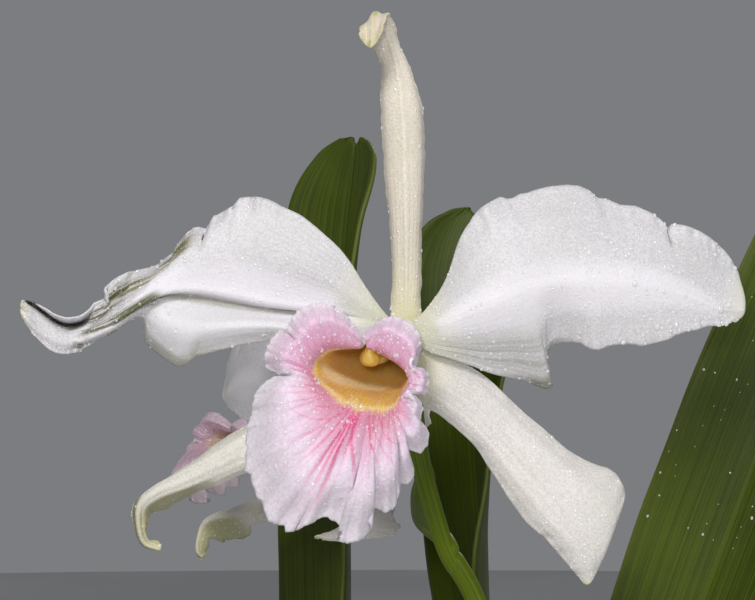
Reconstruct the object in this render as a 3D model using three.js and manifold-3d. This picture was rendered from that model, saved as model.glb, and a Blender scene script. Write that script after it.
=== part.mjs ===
import * as THREE from 'three';
import Module from 'manifold-3d';
import { mergeVertices } from 'three/addons/utils/BufferGeometryUtils.js';

// An orchid in a clay pot: two flowers on one stem, four strap leaves on five
// pseudobulbs, and a rhizome with roots on bark. Millimetres, +Z up, the flowers face -Y,
// and the origin is the middle of the pot's underside.

// Driving dimensions
const POT = { height: 140, topRadius: 78, baseRadius: 56, wall: 7, floor: 10, rimHeight: 26, rimStep: 5 };
const DRAIN = { count: 3, radius: 7, fromAxis: 30 };
const BARK = { top: 124, bottom: POT.floor + 2, gap: 0.6, dome: 3 };
const PETAL_THICKNESS = 1.1;
const PETAL_EDGE = 0.7;
const LEAF_THICKNESS = 2.4;
const LEAF_EDGE = 1.1;
const SHEATH_THICKNESS = 0.8;
const RHIZOME = { radius: 4.6, height: BARK.top + BARK.dome + 4.9 };
const STEM_RADIUS = 2.6;
const FLOWER = { front: [-17, -60, 490], back: [-35, 52, 463] };
const BACK_FLOWER = { turn: -52, lift: -2, scale: 0.82 }; // degrees, and its size beside the front one

// The outlines below are sizes as seen from this distance in front of the flower, in the
// plane through its middle. The eye's own place is given from the flower's middle.
const VIEW_DISTANCE = 700;
const EYE = { right: -6.9, up: 7.5 };

const COLOURS = {
  petal: 0xdcd9dd, sepal: 0xe6dfcd, lip: 0xf0cfe2, column: 0xe9dcae, stem: 0x5f7d1c, leaf: 0x41560f,
  bulb: 0x7b8a3a, sheath: 0xcdbf9c, root: 0xc9ccb8, bark: 0x6a4630, pot: 0xb5663f,
};

const wasm = await Module();
wasm.setup();

const vector = (x, y, z) => new THREE.Vector3(x, y, z);
const spline = (points) => new THREE.CatmullRomCurve3(points, false, 'catmullrom', 0.5);

// A point of a flower from its outline: right and up as seen, and how far behind the plane.
function seen([right, up, behind]) {
  const scale = (VIEW_DISTANCE + behind) / VIEW_DISTANCE;
  return vector((right - EYE.right) * scale + EYE.right, behind, (up - EYE.up) * scale + EYE.up);
}

function material(name, roughness) {
  return new THREE.MeshStandardMaterial({ color: COLOURS[name], roughness, metalness: 0 });
}

function geometryOf(points, triangles) {
  const geometry = new THREE.BufferGeometry();
  const numbers = points.flatMap((p) => [p.x, p.y, p.z]);
  geometry.setAttribute('position', new THREE.Float32BufferAttribute(numbers, 3));
  geometry.setIndex(triangles.flat());
  geometry.computeVertexNormals();
  return geometry;
}

function piece(name, geometry, finish) {
  const mesh = new THREE.Mesh(geometry, finish);
  mesh.name = name;
  return mesh;
}

// The point halfway from the midrib to an edge, raised by swell towards the front.
function halfway(edge, middle, tangent, swell, side) {
  const chord = edge.clone().sub(middle);
  const out = chord.clone().cross(tangent).multiplyScalar(side).normalize();
  return chord.multiplyScalar(0.5).add(middle).addScaledVector(out, swell);
}

// A thin surface through stations, each with a left, middle and right point and two swells.
// along runs from base to tip, and across from -1 at the left edge to 1 at the right.
function ribbon(stations) {
  const rails = ['left', 'middle', 'right'].map((rail) => spline(stations.map((station) => station[rail])));
  const swells = spline(stations.map(({ swell }) => vector(swell[0], swell[1], 0)));
  return (along, across) => {
    const [left, middle, right] = rails.map((rail) => rail.getPoint(along));
    const tangent = rails[1].getTangent(along);
    const swell = swells.getPoint(along);
    const onLeft = halfway(left, middle, tangent, swell.x, -1);
    const onRight = halfway(right, middle, tangent, swell.y, 1);
    return spline([left, onLeft, middle, onRight, right]).getPoint((across + 1) / 2);
  };
}

// Stations of a floral leaf, given as [left, middle, right, swells] as seen from the front.
const floral = (rows) => ribbon(rows.map(([left, middle, right, swell]) => (
  { left: seen(left), middle: seen(middle), right: seen(right), swell })));

// A closed slab around a surface: its front and back are half the thickness away from it.
function slab(surface, rows, columns, thickness, edge) {
  const step = 1e-3;
  const front = [];
  const back = [];
  for (let i = 0; i <= rows; i += 1) {
    for (let j = 0; j <= columns; j += 1) {
      const along = i / rows;
      const across = (2 * j) / columns - 1;
      const [a0, a1] = [Math.max(along - step, 0), Math.min(along + step, 1)];
      const [c0, c1] = [Math.max(across - step, -1), Math.min(across + step, 1)];
      const lengthwise = surface(a1, across).sub(surface(a0, across));
      const sideways = surface(along, c1).sub(surface(along, c0));
      const normal = sideways.cross(lengthwise).normalize();
      const border = i === 0 || i === rows || j === 0 || j === columns;
      const half = (border ? edge : thickness) / 2;
      const point = surface(along, across);
      front.push(point.clone().addScaledVector(normal, half));
      back.push(point.clone().addScaledVector(normal, -half));
    }
  }
  const at = (i, j) => i * (columns + 1) + j;
  const behind = front.length;
  const triangles = [];
  for (let i = 0; i < rows; i += 1) {
    for (let j = 0; j < columns; j += 1) {
      const [a, b, c, d] = [at(i, j), at(i, j + 1), at(i + 1, j + 1), at(i + 1, j)];
      triangles.push([a, b, c], [a, c, d]);
      triangles.push([a + behind, c + behind, b + behind], [a + behind, d + behind, c + behind]);
    }
  }
  const rim = [];
  for (let j = 0; j < columns; j += 1) rim.push(at(0, j));
  for (let i = 0; i < rows; i += 1) rim.push(at(i, columns));
  for (let j = columns; j > 0; j -= 1) rim.push(at(rows, j));
  for (let i = rows; i > 0; i -= 1) rim.push(at(i, 0));
  rim.forEach((p, index) => {
    const q = rim[(index + 1) % rim.length];
    triangles.push([q, p, p + behind], [q, p + behind, q + behind]);
  });
  return geometryOf([...front, ...back], triangles);
}

// A closed round body along a path. radiusAt gives its radius from how far along and at which angle.
function rod(path, radiusAt, rings, sides) {
  const curve = spline(path);
  const frames = curve.computeFrenetFrames(rings, false);
  const points = [];
  for (let i = 0; i <= rings; i += 1) {
    const centre = curve.getPointAt(i / rings);
    for (let k = 0; k < sides; k += 1) {
      const angle = (2 * Math.PI * k) / sides;
      const radius = radiusAt(i / rings, angle);
      points.push(centre.clone()
        .addScaledVector(frames.normals[i], radius * Math.cos(angle))
        .addScaledVector(frames.binormals[i], radius * Math.sin(angle)));
    }
  }
  const triangles = [];
  for (let i = 0; i < rings; i += 1) {
    for (let k = 0; k < sides; k += 1) {
      const next = (k + 1) % sides;
      const [a, b, c, d] = [i * sides + k, i * sides + next, (i + 1) * sides + next, (i + 1) * sides + k];
      triangles.push([a, b, c], [a, c, d]);
    }
  }
  const [first, last] = [points.length, points.length + 1];
  points.push(curve.getPointAt(0), curve.getPointAt(1));
  for (let k = 0; k < sides; k += 1) {
    const next = (k + 1) % sides;
    triangles.push([first, next, k], [last, rings * sides + k, rings * sides + next]);
  }
  return geometryOf(points, triangles);
}

// A radius that passes through the given values at even steps along a rod.
function tapered(values) {
  const curve = spline(values.map((value, index) => vector(index, value, 0)));
  return (along) => curve.getPoint(along).y;
}

// The five outer leaves of the front flower: left edge, midrib and right edge at each station,
// as [right, up, behind], and how far each half swells towards the front.
const DORSAL_SEPAL = [
  [[-2.2, 1.6, 4.5], [0, 1.2, 4.3], [2.2, 1.6, 4.5], [0, 0]],
  [[-3.2, 9, 5], [0.2, 9, 2.6], [3.7, 9, 5], [0.8, 0.8]],
  [[-3.6, 25, 5.6], [0.2, 25, 1.2], [4, 25, 5.6], [1.2, 1.2]],
  [[-4.6, 37, 6.4], [0, 37, 1], [4.5, 37, 6.4], [1.6, 1.6]],
  [[-5.2, 48, 6.6], [-0.2, 48, 1], [4.7, 48, 6.6], [1.7, 1.7]],
  [[-5.9, 58, 6], [-0.9, 58, 1], [4, 58, 6], [1.6, 1.6]],
  [[-5.9, 66, 4.4], [-2.2, 66.5, 0.6], [1.8, 66, 4.4], [1.1, 1.1]],
  [[-7.4, 71.4, 1.4], [-4, 72.6, -1.2], [-1.2, 71.6, 1.8], [0.6, 0.6]],
  [[-10.2, 73.6, -2.6], [-6, 77, -3.4], [-2.6, 76.2, -1.4], [0.5, 0.5]],
  [[-11.4, 75.4, -6], [-7.8, 79.2, -7.6], [-4.2, 79, -6.2], [0.5, 0.5]],
  [[-11.2, 73.2, -8.6], [-8.4, 72.8, -11.2], [-5.8, 74.8, -10.2], [0.3, 0.3]],
];
const RIGHT_PETAL = [
  [[2, 2.2, 2.9], [1.8, 0.3, 2.9], [2.3, -1.6, 2.9], [0, 0]],
  [[7.2, 7.7, 1.6], [8.7, 2, -0.6], [11.2, -5.9, 1.6], [0.6, 0.6]],
  [[10.5, 13.7, 2], [14.2, 5.7, -2], [20, -10.2, 2.6], [0.8, 1.4]],
  [[13.2, 21.7, 3], [21.2, 9.7, -3.2], [28.7, -12.4, 5], [1, 2.2]],
  [[17.5, 29, 4], [28.7, 13.7, -3.6], [36.2, -14, 8], [1, 2.4]],
  [[25.5, 33.2, 5], [36.2, 15.7, -3.6], [37.7, -3.6, 5], [1, 1.8]],
  [[36.2, 35.8, 5], [45, 17, -3.4], [46.2, -4.8, 2], [1, 1.4]],
  [[47.5, 33.2, 5], [53.7, 16.5, -2.4], [56.2, -3.5, 1], [1, 1]],
  [[60, 30, 4], [62.5, 14.5, -1], [65.5, -2.5, 1], [0.8, 0.6]],
  [[71.2, 25.7, 4], [71.2, 11.5, 1], [73.7, 0.5, 2], [0.6, 0.4]],
  [[79.2, 19.6, 6], [77.6, 8.2, 3], [79.2, 1.6, 4], [0.4, 0.2]],
  [[83.2, 10.8, 7], [82, 6.4, 5], [82.6, 3, 6], [0, 0]],
];
const LEFT_PETAL = [
  [[-2.9, -1.6, 2.9], [-2.4, 0.4, 2.9], [-2.6, 2.4, 2.9], [0, 0]],
  [[-11.2, -3, 1.6], [-10, 3, 0.6], [-8.8, 9.2, 0.4], [0.4, 0.8]],
  [[-20, -3.2, 3.4], [-18.8, 4.6, 1.6], [-14.5, 18, -0.6], [1, 1.4]],
  [[-28.8, -3.6, 3.6], [-27.5, 5.2, 2.6], [-20.8, 24.5, -0.6], [1.6, 2]],
  [[-37.5, -3.6, 3.4], [-35.8, 6.2, 3.2], [-28.8, 30, 0.6], [2, 2.4]],
  [[-46.2, -5.6, 4], [-43.2, 7.6, 3.6], [-37.5, 33, 2.6], [2.4, 2.6]],
  [[-56.2, -8.6, 6], [-52.5, 9.2, 3.6], [-47.4, 27.4, 3.6], [2.4, 2.4]],
  [[-64.6, -3.4, 7], [-60, 9, 2.6], [-56.2, 21.8, 4], [1.6, 1.8]],
  [[-67.2, 2, 5], [-66.2, 6.2, 1.4], [-63.8, 15.6, 3.6], [0.6, 1]],
  [[-73.4, -1.8, 3], [-73.2, 1.6, 0], [-73.2, 11, 1.4], [0.4, 0.6]],
  [[-80, -5.4, 0], [-80, -0.8, -1.4], [-79.2, 5, -1.4], [0.4, 0.4]],
  [[-87, -6, -3], [-86.4, -1.6, -3.6], [-87.4, 4, -6], [-0.6, -0.6]],
  [[-92.8, -1.4, -5], [-92, 1.4, -5], [-93.2, 6.2, -8], [-0.5, -0.5]],
  [[-95.8, 3.4, -7], [-95.2, 4.6, -7], [-95.9, 6.4, -8.6], [0, 0]],
];
const RIGHT_SEPAL = [
  [[3.4, -0.2, 4.4], [1.7, -1.9, 4.2], [0.2, -3.6, 4.4], [0, 0]],
  [[7.4, -6.4, 5.6], [6.2, -12, 3.6], [3.5, -17, 5.6], [0.6, 0.6]],
  [[15.2, -9.4, 7.4], [11.8, -16, 4], [8.8, -21.2, 6.6], [1, 1]],
  [[21.2, -12.8, 8.6], [17.5, -20, 4.6], [13.2, -25, 7], [1.2, 1.2]],
  [[27.5, -18.5, 8.4], [23.2, -26, 4.4], [18, -29.8, 7], [1.2, 1.2]],
  [[34, -24.2, 7.6], [28.8, -32, 3.4], [21.8, -35.5, 6.4], [1.4, 1.4]],
  [[40.7, -30, 6.4], [34.5, -38.2, 2.2], [26.2, -42.5, 5.4], [1.6, 1.6]],
  [[47.7, -33.8, 5.4], [40.2, -45, 1], [30.7, -48.5, 4.4], [1.8, 1.6]],
  [[53.2, -37, 4.6], [44.7, -50.7, 0.6], [35, -52.5, 3.6], [1.8, 1.4]],
  [[54.8, -42, 4], [46.7, -55.5, 1], [38.7, -56.5, 3.4], [1.4, 1]],
  [[51.7, -51.2, 3.6], [46.7, -59.5, 2], [42, -60.2, 3.4], [0.8, 0.6]],
  [[47.7, -60.4, 4], [46.2, -62.2, 3.4], [44.4, -63, 4], [0, 0]],
];
const LEFT_SEPAL = [
  [[-0.2, -3.6, 4.4], [-1.7, -1.9, 4.2], [-3.4, -0.2, 4.4], [0, 0]],
  [[-4.6, -11, 5.6], [-8, -7, 4.2], [-9.6, -2.6, 5.6], [0.6, 0.6]],
  [[-14, -20, 7], [-18, -14.5, 4.6], [-20.6, -8, 7], [1, 1]],
  [[-26, -28.6, 7.4], [-29, -22.4, 4.4], [-32, -16, 7.4], [1.2, 1.2]],
  [[-36.8, -35.2, 7], [-39.4, -29.8, 3.4], [-41.6, -24, 7], [1.2, 1.2]],
  [[-46, -38.2, 5.4], [-47.6, -34, 1.6], [-49, -29.6, 5.4], [1, 1]],
  [[-53.8, -40.8, 2.6], [-55.6, -37.8, -0.6], [-57, -34.8, 3], [0.8, 0.8]],
  [[-60, -43, 0.6], [-62, -40.4, -2], [-63, -38.6, 1], [0.6, 0.6]],
  [[-64, -45.4, 0.4], [-66, -43.8, -2], [-67.4, -43, 0.4], [0.5, 0.5]],
  [[-64.6, -49.6, 1.6], [-66.4, -49, -0.6], [-67.8, -48.2, 1.4], [0.4, 0.4]],
  [[-63.8, -52.4, 3], [-65, -53.2, 1.4], [-66.4, -53.2, 3], [0.3, 0.3]],
  [[-61.6, -52.8, 4], [-61.8, -54.6, 3], [-62.4, -55.4, 4.2], [0, 0]],
];

// The lip is a funnel that is open above: each rib runs from the funnel's mouth, [right, up],
// to the rim, [right, up, behind], clockwise as seen from the upper right edge.
const LIP_RIBS = [
  [[-9.2, -4.2], [-10, -1.6, -41]], [[-7, -5.2], [-5, 3, -42]], [[-4.8, -6.4], [-0.4, 2.8, -43]],
  [[-2.4, -7.8], [3.7, -1.4, -44]], [[-0.4, -9.4], [4, -5, -44]], [[0.8, -10.8], [3, -9, -45]],
  [[1, -12.4], [5.8, -12, -44]], [[0.6, -13.8], [5.2, -15.6, -44]], [[-0.4, -15.2], [2.4, -16.4, -46]],
  [[-1, -16.6], [3.9, -20.5, -46]], [[-1.8, -17.8], [5.4, -27.5, -45]], [[-2.8, -19], [1.4, -38, -46]],
  [[-4, -19.6], [-3.6, -45, -48]], [[-5.6, -19.8], [-10, -46, -50]], [[-7.4, -19.8], [-13.4, -52.4, -50]],
  [[-9.2, -19.5], [-20.6, -47.6, -51]], [[-11, -19.2], [-28, -50, -50]], [[-12.6, -18.8], [-34, -46.6, -48]],
  [[-14.6, -18], [-38, -38.4, -45]], [[-16.8, -16.8], [-39.6, -28.8, -42]],
  [[-18.8, -15.2], [-38.2, -20.4, -41]], [[-20.8, -13.6], [-35.6, -14, -41]],
  [[-22, -12], [-30.2, -9.8, -43]], [[-22.8, -10.6], [-34.2, -9.6, -41]],
  [[-22.8, -9.2], [-34.7, -5, -41]], [[-22.2, -7.8], [-31.2, -0.2, -42]], [[-21, -6.4], [-28.2, 3, -42]],
  [[-19.2, -5.2], [-23.2, 6.6, -43]], [[-16.8, -4.6], [-18, 6.2, -43]], [[-13.8, -4.4], [-13.8, 2.8, -42]],
  [[-10.6, -4.2], [-11, -1.8, -41]],
];
const LIP_MOUTH = { top: -37, bottom: -45, lowest: -19.8, highest: -4.2 };
const LIP_FOOT = { right: -0.8, up: -1.6, behind: -2.6, radius: 4.3 };
const TUBE_BELLY = { right: 0.8, up: 1.4 };
const LIP_SWELL = 5;
const COLUMN_PATH = [[-0.7, -1.2, 1.9], [-1.9, -2.3, -8], [-5, -4.1, -18], [-8.2, -6.3, -28]];
const COLUMN_RADII = [2.9, 2.8, 3, 3.2, 2.8];
const ANTHER_CAP_PATH = [[-8.4, -6.5, -28.6], [-8.9, -6.9, -30.6], [-9.3, -7.3, -32.2]];
const ANTHER_CAP_RADII = [2.2, 2.4, 1.2];

function lipSurface() {
  const ribs = LIP_RIBS.map(([mouth, rim], index) => {
    const angle = Math.PI * (0.5 - (2 * (index + 0.5)) / LIP_RIBS.length);
    const low = (LIP_MOUTH.highest - mouth[1]) / (LIP_MOUTH.highest - LIP_MOUTH.lowest);
    const mouthPoint = vector(mouth[0], mouth[1], LIP_MOUTH.top + (LIP_MOUTH.bottom - LIP_MOUTH.top) * low);
    const foot = vector(LIP_FOOT.right + LIP_FOOT.radius * Math.cos(angle),
      LIP_FOOT.up + LIP_FOOT.radius * Math.sin(angle), LIP_FOOT.behind);
    const tube = foot.clone().lerp(mouthPoint, 0.5);
    tube.x += TUBE_BELLY.right * Math.cos(angle);
    tube.y += TUBE_BELLY.up * Math.sin(angle);
    const rimPoint = vector(...rim);
    const flare = mouthPoint.clone().lerp(rimPoint, 0.5);
    flare.z -= LIP_SWELL * Math.min(1, mouthPoint.distanceTo(rimPoint) / 30);
    return [foot, tube, mouthPoint, flare, rimPoint].map(({ x, y, z }) => seen([x, y, z]));
  });
  const rings = ribs[0].map((unused, ring) => spline(ribs.map((rib) => rib[ring])));
  return (along, across) => spline(rings.map((ring) => ring.getPoint((across + 1) / 2))).getPoint(along);
}

// Bends what lies above or below the middle forward, or the two sides back, per millimetre.
function bentForward({ x, y, z }, curvature) {
  if (!curvature) return vector(x, y, z);
  const angle = z * curvature;
  const [sine, cosine] = [Math.sin(angle), Math.cos(angle)];
  return vector(x, y * cosine - (1 - cosine) / curvature, sine / curvature + y * sine);
}
function sweptBack({ x, y, z }, curvature) {
  if (!curvature) return vector(x, y, z);
  const angle = Math.abs(x) * curvature;
  return vector((Math.sign(x) * Math.sin(angle)) / curvature, y + (1 - Math.cos(angle)) / curvature, z);
}
const reshaped = (surface, change, curvature) => (along, across) => change(surface(along, across), curvature);

// The rows of a petal on the flower's other side.
const flipped = ([right, up, behind]) => [-right, up, behind];
const mirrored = (rows) => rows.map(([left, middle, right, swell]) => (
  [flipped(right), flipped(middle), flipped(left), [swell[1], swell[0]]]));

function makeFlower(prefix, leftPetal, bends) {
  const { nod = 0, leftSweep = 0, rightSweep = 0, lipBend = 0, leftBend = 0, rightBend = 0 } = bends;
  const flower = new THREE.Group();
  const add = (name, geometry, finish) => (
    flower.add(piece(`${prefix}_${name}`, geometry, material(finish, 0.5))));
  const petal = (name, rows, count, finish, change, curvature) => {
    const surface = reshaped(floral(rows), change, curvature);
    add(name, slab(surface, count, 4, PETAL_THICKNESS, PETAL_EDGE), finish);
  };
  petal('dorsal_sepal', DORSAL_SEPAL, 14, 'sepal', bentForward, nod);
  petal('left_petal', leftPetal, 14, 'petal', sweptBack, leftSweep);
  petal('right_petal', RIGHT_PETAL, 12, 'petal', sweptBack, rightSweep);
  petal('left_lateral_sepal', LEFT_SEPAL, 13, 'sepal', bentForward, leftBend);
  petal('right_lateral_sepal', RIGHT_SEPAL, 11, 'sepal', bentForward, rightBend);
  add('lip', slab(reshaped(lipSurface(), bentForward, lipBend), 6, 30, PETAL_THICKNESS, PETAL_EDGE), 'lip');
  const inLip = (path) => path.map((row) => bentForward(seen(row), lipBend));
  add('column', rod(inLip(COLUMN_PATH), tapered(COLUMN_RADII), 5, 10), 'column');
  add('anther_cap', rod(inLip(ANTHER_CAP_PATH), tapered(ANTHER_CAP_RADII), 3, 8), 'column');
  return flower;
}

// Stems. The two flower stalks meet the main stem at the node, and each ends behind its flower.
const FRONT_STALK = [
  [-17, -54.7, 490], [-16.8, -48, 488], [-16, -40, 480], [-14.8, -33, 468], [-12.6, -28, 455],
  [-9.4, -23.5, 443], [-6, -19.2, 432.2],
];
const STALK_RADII = [3.1, 3.3, 3, 2.6, 2.4, 2.3];
const BACK_STALK = [
  [-30.8, 55.6, 463], [-24, 60, 459], [-15, 57, 453], [-10.4, 44, 447], [-12, 24, 442.4],
  [-11.6, 2, 437.6], [-6.3, -17.1, 434],
];
const MAIN_STEM = [
  [22, -5, 285], [20.5, -6, 310], [17, -9, 350], [9, -12.6, 395], [2, -14.4, 418], [-5.4, -18.6, 431.2],
];
const SPATHE = { base: [22, -5, 285.8], height: 74, wrap: 3.8, lean: [-0.085, -0.062] };

function makeStems() {
  const stems = new THREE.Group();
  const points = (rows) => rows.map((row) => vector(...row));
  const green = () => material('stem', 0.5);
  stems.add(piece('front_flower_stalk', rod(points(FRONT_STALK), tapered(STALK_RADII), 10, 8), green()));
  stems.add(piece('back_flower_stalk', rod(points(BACK_STALK), tapered(STALK_RADII), 10, 8), green()));
  stems.add(piece('flower_stem', rod(points(MAIN_STEM), () => STEM_RADIUS, 10, 8), green()));
  return stems;
}

// A blade along a midrib, with a round tip: half widths, the ways its upper face looks at the
// base and the tip, and its fold in degrees.
function blade(midrib, halfWidths, facing, fold, swell) {
  const curve = spline(midrib.map((row) => vector(...row)));
  const widths = tapered(halfWidths);
  const stations = [];
  for (let index = 0; index <= LEAF_STATIONS; index += 1) {
    const along = index / LEAF_STATIONS;
    const middle = curve.getPointAt(along);
    const tangent = curve.getTangentAt(along);
    const look = vector(...facing[0]).lerp(vector(...facing[1]), along ** 3);
    const face = look.clone().addScaledVector(tangent, -tangent.dot(look)).normalize();
    const side = tangent.clone().cross(face);
    const inTip = Math.max(0, along - LEAF_TIP.from) / (1 - LEAF_TIP.from);
    const width = widths(along) * Math.sqrt(1 - (1 - LEAF_TIP.end ** 2) * inTip ** 2);
    const angle = THREE.MathUtils.degToRad(fold);
    const [out, up] = [width * Math.cos(angle), width * Math.sin(angle)];
    stations.push({
      left: middle.clone().addScaledVector(side, -out).addScaledVector(face, up),
      middle,
      right: middle.clone().addScaledVector(side, out).addScaledVector(face, up),
      swell: [swell * width, swell * width],
    });
  }
  return ribbon(stations);
}

// Pseudobulbs from the newest, which flowers, to the oldest, which has lost its leaf.
const BULBS = [
  { name: 'flowering', foot: [32, -12], top: [24, -1, 284], radius: 13 },
  { name: 'second', foot: [16, 16], top: [10, 34, 262], radius: 12 },
  { name: 'third', foot: [-10, 30], top: [-28, 56, 266], radius: 12 },
  { name: 'fourth', foot: [-32, 8], top: [-48, 12, 236], radius: 12.5 },
  { name: 'oldest', foot: [-27, -24], top: [-38, -40, 214], radius: 11 },
];
const BULB_PROFILE = [0.42, 0.5, 0.72, 0.95, 1, 0.9, 0.66, 0.46];
const BULB_FURROWS = { count: 7, depth: 0.06 };
const SHEATH_REACH = 0.42; // of the bulb's length
const BULB_FOOT = RHIZOME.height + RHIZOME.radius + 0.4;
const LEAF_SWELL = -0.06; // of the half width
const LEAF_HALF_WIDTHS = [4.2, 9, 16, 21, 23.5, 24.5, 24.5, 24, 23, 21.5, 20];
const LEAF_STATIONS = 30;
// Where the round tip starts along the leaf, and its last width beside the full one
const LEAF_TIP = { from: 0.91, end: 0.3 };
const LEAVES = [
  { name: 'flowering', facing: [[-0.35, -1, 0.1], [-0.35, -1, 0.1]], fold: 24,
    midrib: [
      [25.5, 3.4, 285.2], [39, 6, 335], [54, 3, 385], [71, -4, 435], [91, -8, 488], [112, -10, 536],
      [128, -12, 566],
    ] },
  { name: 'second', facing: [[-1, 0, 0.1], [-0.1, -1, 0.1]], fold: 22,
    midrib: [[10, 34.6, 262.8], [10, 50, 330], [8, 66, 400], [5, 78, 460], [4, 84, 500], [6, 87, 526]] },
  { name: 'third', facing: [[-0.9, -0.4, 0.1], [-0.75, -0.65, 0.1]], fold: 26,
    midrib: [
      [-28, 56.6, 266.8], [-31, 72, 330], [-34, 86, 395], [-35, 95, 460], [-34, 98, 510], [-30, 98, 548],
    ] },
  { name: 'fourth', facing: [[0.3, -0.25, 1], [0.3, -0.25, 1]], fold: 20,
    midrib: [
      [-48.6, 12, 236.9], [-60, 12, 285], [-84, 8, 335], [-122, 2, 368], [-168, -4, 374], [-206, -10, 352],
    ] },
];

function bulbPath({ foot, top }) {
  const start = vector(...foot, BULB_FOOT);
  const end = vector(...top);
  const middle = start.clone().lerp(end, 0.45);
  middle.x += (foot[0] - top[0]) * 0.12;
  middle.y += (foot[1] - top[1]) * 0.12;
  return [start, middle, end];
}

function makeBulb(bulb) {
  const { name, radius } = bulb;
  const profile = tapered(BULB_PROFILE);
  const radiusAt = (along, angle) => (
    radius * profile(along) * (1 - BULB_FURROWS.depth * (1 + Math.cos(BULB_FURROWS.count * angle)) / 2));
  return piece(`${name}_pseudobulb`, rod(bulbPath(bulb), radiusAt, 9, 14), material('bulb', 0.55));
}

// A dry sheath wrapped most of the way round the foot of a pseudobulb.
function makeSheath(bulb, turn) {
  const { name, radius } = bulb;
  const path = spline(bulbPath(bulb));
  const profile = tapered(BULB_PROFILE);
  const surface = (along, across) => {
    const angle = THREE.MathUtils.degToRad(turn) + across * THREE.MathUtils.degToRad(150 - 60 * along);
    const reach = 0.01 + SHEATH_REACH * along;
    const around = radius * profile(reach) + 1 + 2.5 * along * along;
    return path.getPointAt(reach).add(vector(around * Math.cos(angle), around * Math.sin(angle), 0));
  };
  const sheath = slab(surface, 5, 8, SHEATH_THICKNESS, SHEATH_THICKNESS);
  return piece(`${name}_sheath`, sheath, material('sheath', 0.8));
}

function makeSpathe() {
  const { base, height, wrap, lean } = SPATHE;
  const surface = (along, across) => {
    const angle = -Math.PI / 2 + across * (2.5 - 1.1 * along);
    const around = wrap + 1.6 * Math.sin(Math.PI * along);
    return vector(base[0] + lean[0] * along * height + around * Math.cos(angle),
      base[1] + lean[1] * along * height + around * Math.sin(angle), base[2] + along * height);
  };
  return piece('spathe', slab(surface, 6, 8, SHEATH_THICKNESS, SHEATH_THICKNESS), material('sheath', 0.7));
}

function makeGrowths() {
  const growths = new THREE.Group();
  BULBS.forEach((bulb, index) => {
    growths.add(makeBulb(bulb));
    growths.add(makeSheath(bulb, 40 + 75 * index));
  });
  LEAVES.forEach(({ name, midrib, facing, fold }) => {
    const surface = blade(midrib, LEAF_HALF_WIDTHS, facing, fold, LEAF_SWELL);
    const closerAtTip = (along, across) => surface(1 - (1 - along) ** 1.5, across);
    const leaf = slab(closerAtTip, 14, 4, LEAF_THICKNESS, LEAF_EDGE);
    growths.add(piece(`${name}_leaf`, leaf, material('leaf', 0.5)));
  });
  growths.add(makeSpathe());
  return growths;
}

// The rhizome joins the feet of the pseudobulbs and ends in a new shoot.
const RHIZOME_END = [38, -24];
const NEW_SHOOT = [[38.7, -25.4, 0.2], [42, -32, 3], [47, -38, 16], [50, -41, 32]];
const NEW_SHOOT_RADII = [3.4, 5.4, 5.6, 3.6, 1];
const ROOT_RADII = [2, 2.2, 2.2, 1.3];
const ROOT_LIFT = 2.6; // of a root's middle over the bark
const ROOTS = [
  [[-19, -36, 2.6], [-18, -47, 0], [-8, -55, 0], [8, -58, 0], [22, -56, 0]],
  [[-40, 14, 2.6], [-50, 22, 0], [-57, 20, 1], [-64, 21, 13.5], [-71, 23, 17.5], [-78, 25, 17], [-84, 27, 8],
    [-85, 27, -16], [-81, 27, -46]],
  [[2, 38, 2.6], [8, 47, 0], [22, 53, 0], [38, 47, 0]],
  [[39, 0, 1.6], [49, 8, 0], [56, 6, 0], [60, -6, 0]],
];

// The bark's top is a low dome: nearly flat in the middle, then down to its edge.
const BARK_RIM = POT.topRadius - POT.wall - 1.5 - BARK.gap;
const BARK_SHOULDER = { radius: 0.6 * BARK_RIM, level: BARK.top + 0.8 * BARK.dome };
function barkLevel(x, y) {
  const radius = Math.min(Math.hypot(x, y), BARK_RIM);
  const middle = BARK.top + BARK.dome;
  const { radius: bend, level } = BARK_SHOULDER;
  if (radius < bend) return THREE.MathUtils.mapLinear(radius, 0, bend, middle, level);
  return THREE.MathUtils.mapLinear(radius, bend, BARK_RIM, level, BARK.top);
}

function makeRootstock() {
  const rootstock = new THREE.Group();
  const level = RHIZOME.height;
  const feet = [[-24, -32], ...BULBS.map(({ foot }) => foot).reverse(), RHIZOME_END];
  const path = feet.map(([x, y]) => vector(x, y, level));
  rootstock.add(piece('rhizome', rod(path, () => RHIZOME.radius, 20, 8), material('bulb', 0.7)));
  ROOTS.forEach((root, index) => {
    const route = root.map(([x, y, above]) => vector(x, y, barkLevel(x, y) + ROOT_LIFT + above));
    rootstock.add(piece(`root_${index + 1}`, rod(route, tapered(ROOT_RADII), 14, 6), material('root', 0.8)));
  });
  rootstock.add(piece('new_shoot', rod(NEW_SHOOT.map(([x, y, above]) => vector(x, y, level + above)),
    tapered(NEW_SHOOT_RADII), 6, 8), material('leaf', 0.6)));
  return rootstock;
}

function solidOf(geometry) {
  const shape = geometry.clone();
  shape.deleteAttribute('normal');
  shape.deleteAttribute('uv');
  const merged = mergeVertices(shape, 1e-4);
  const vertProperties = new Float32Array(merged.attributes.position.array);
  const triVerts = new Uint32Array(merged.index.array);
  return new wasm.Manifold(new wasm.Mesh({ numProp: 3, vertProperties, triVerts }));
}

function geometryFrom(solid) {
  const mesh = solid.getMesh();
  const geometry = new THREE.BufferGeometry();
  geometry.setAttribute('position', new THREE.BufferAttribute(mesh.vertProperties, 3));
  geometry.setIndex(new THREE.BufferAttribute(mesh.triVerts, 1));
  geometry.computeVertexNormals();
  return geometry;
}

const upright = (geometry) => geometry.rotateX(Math.PI / 2);

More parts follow.
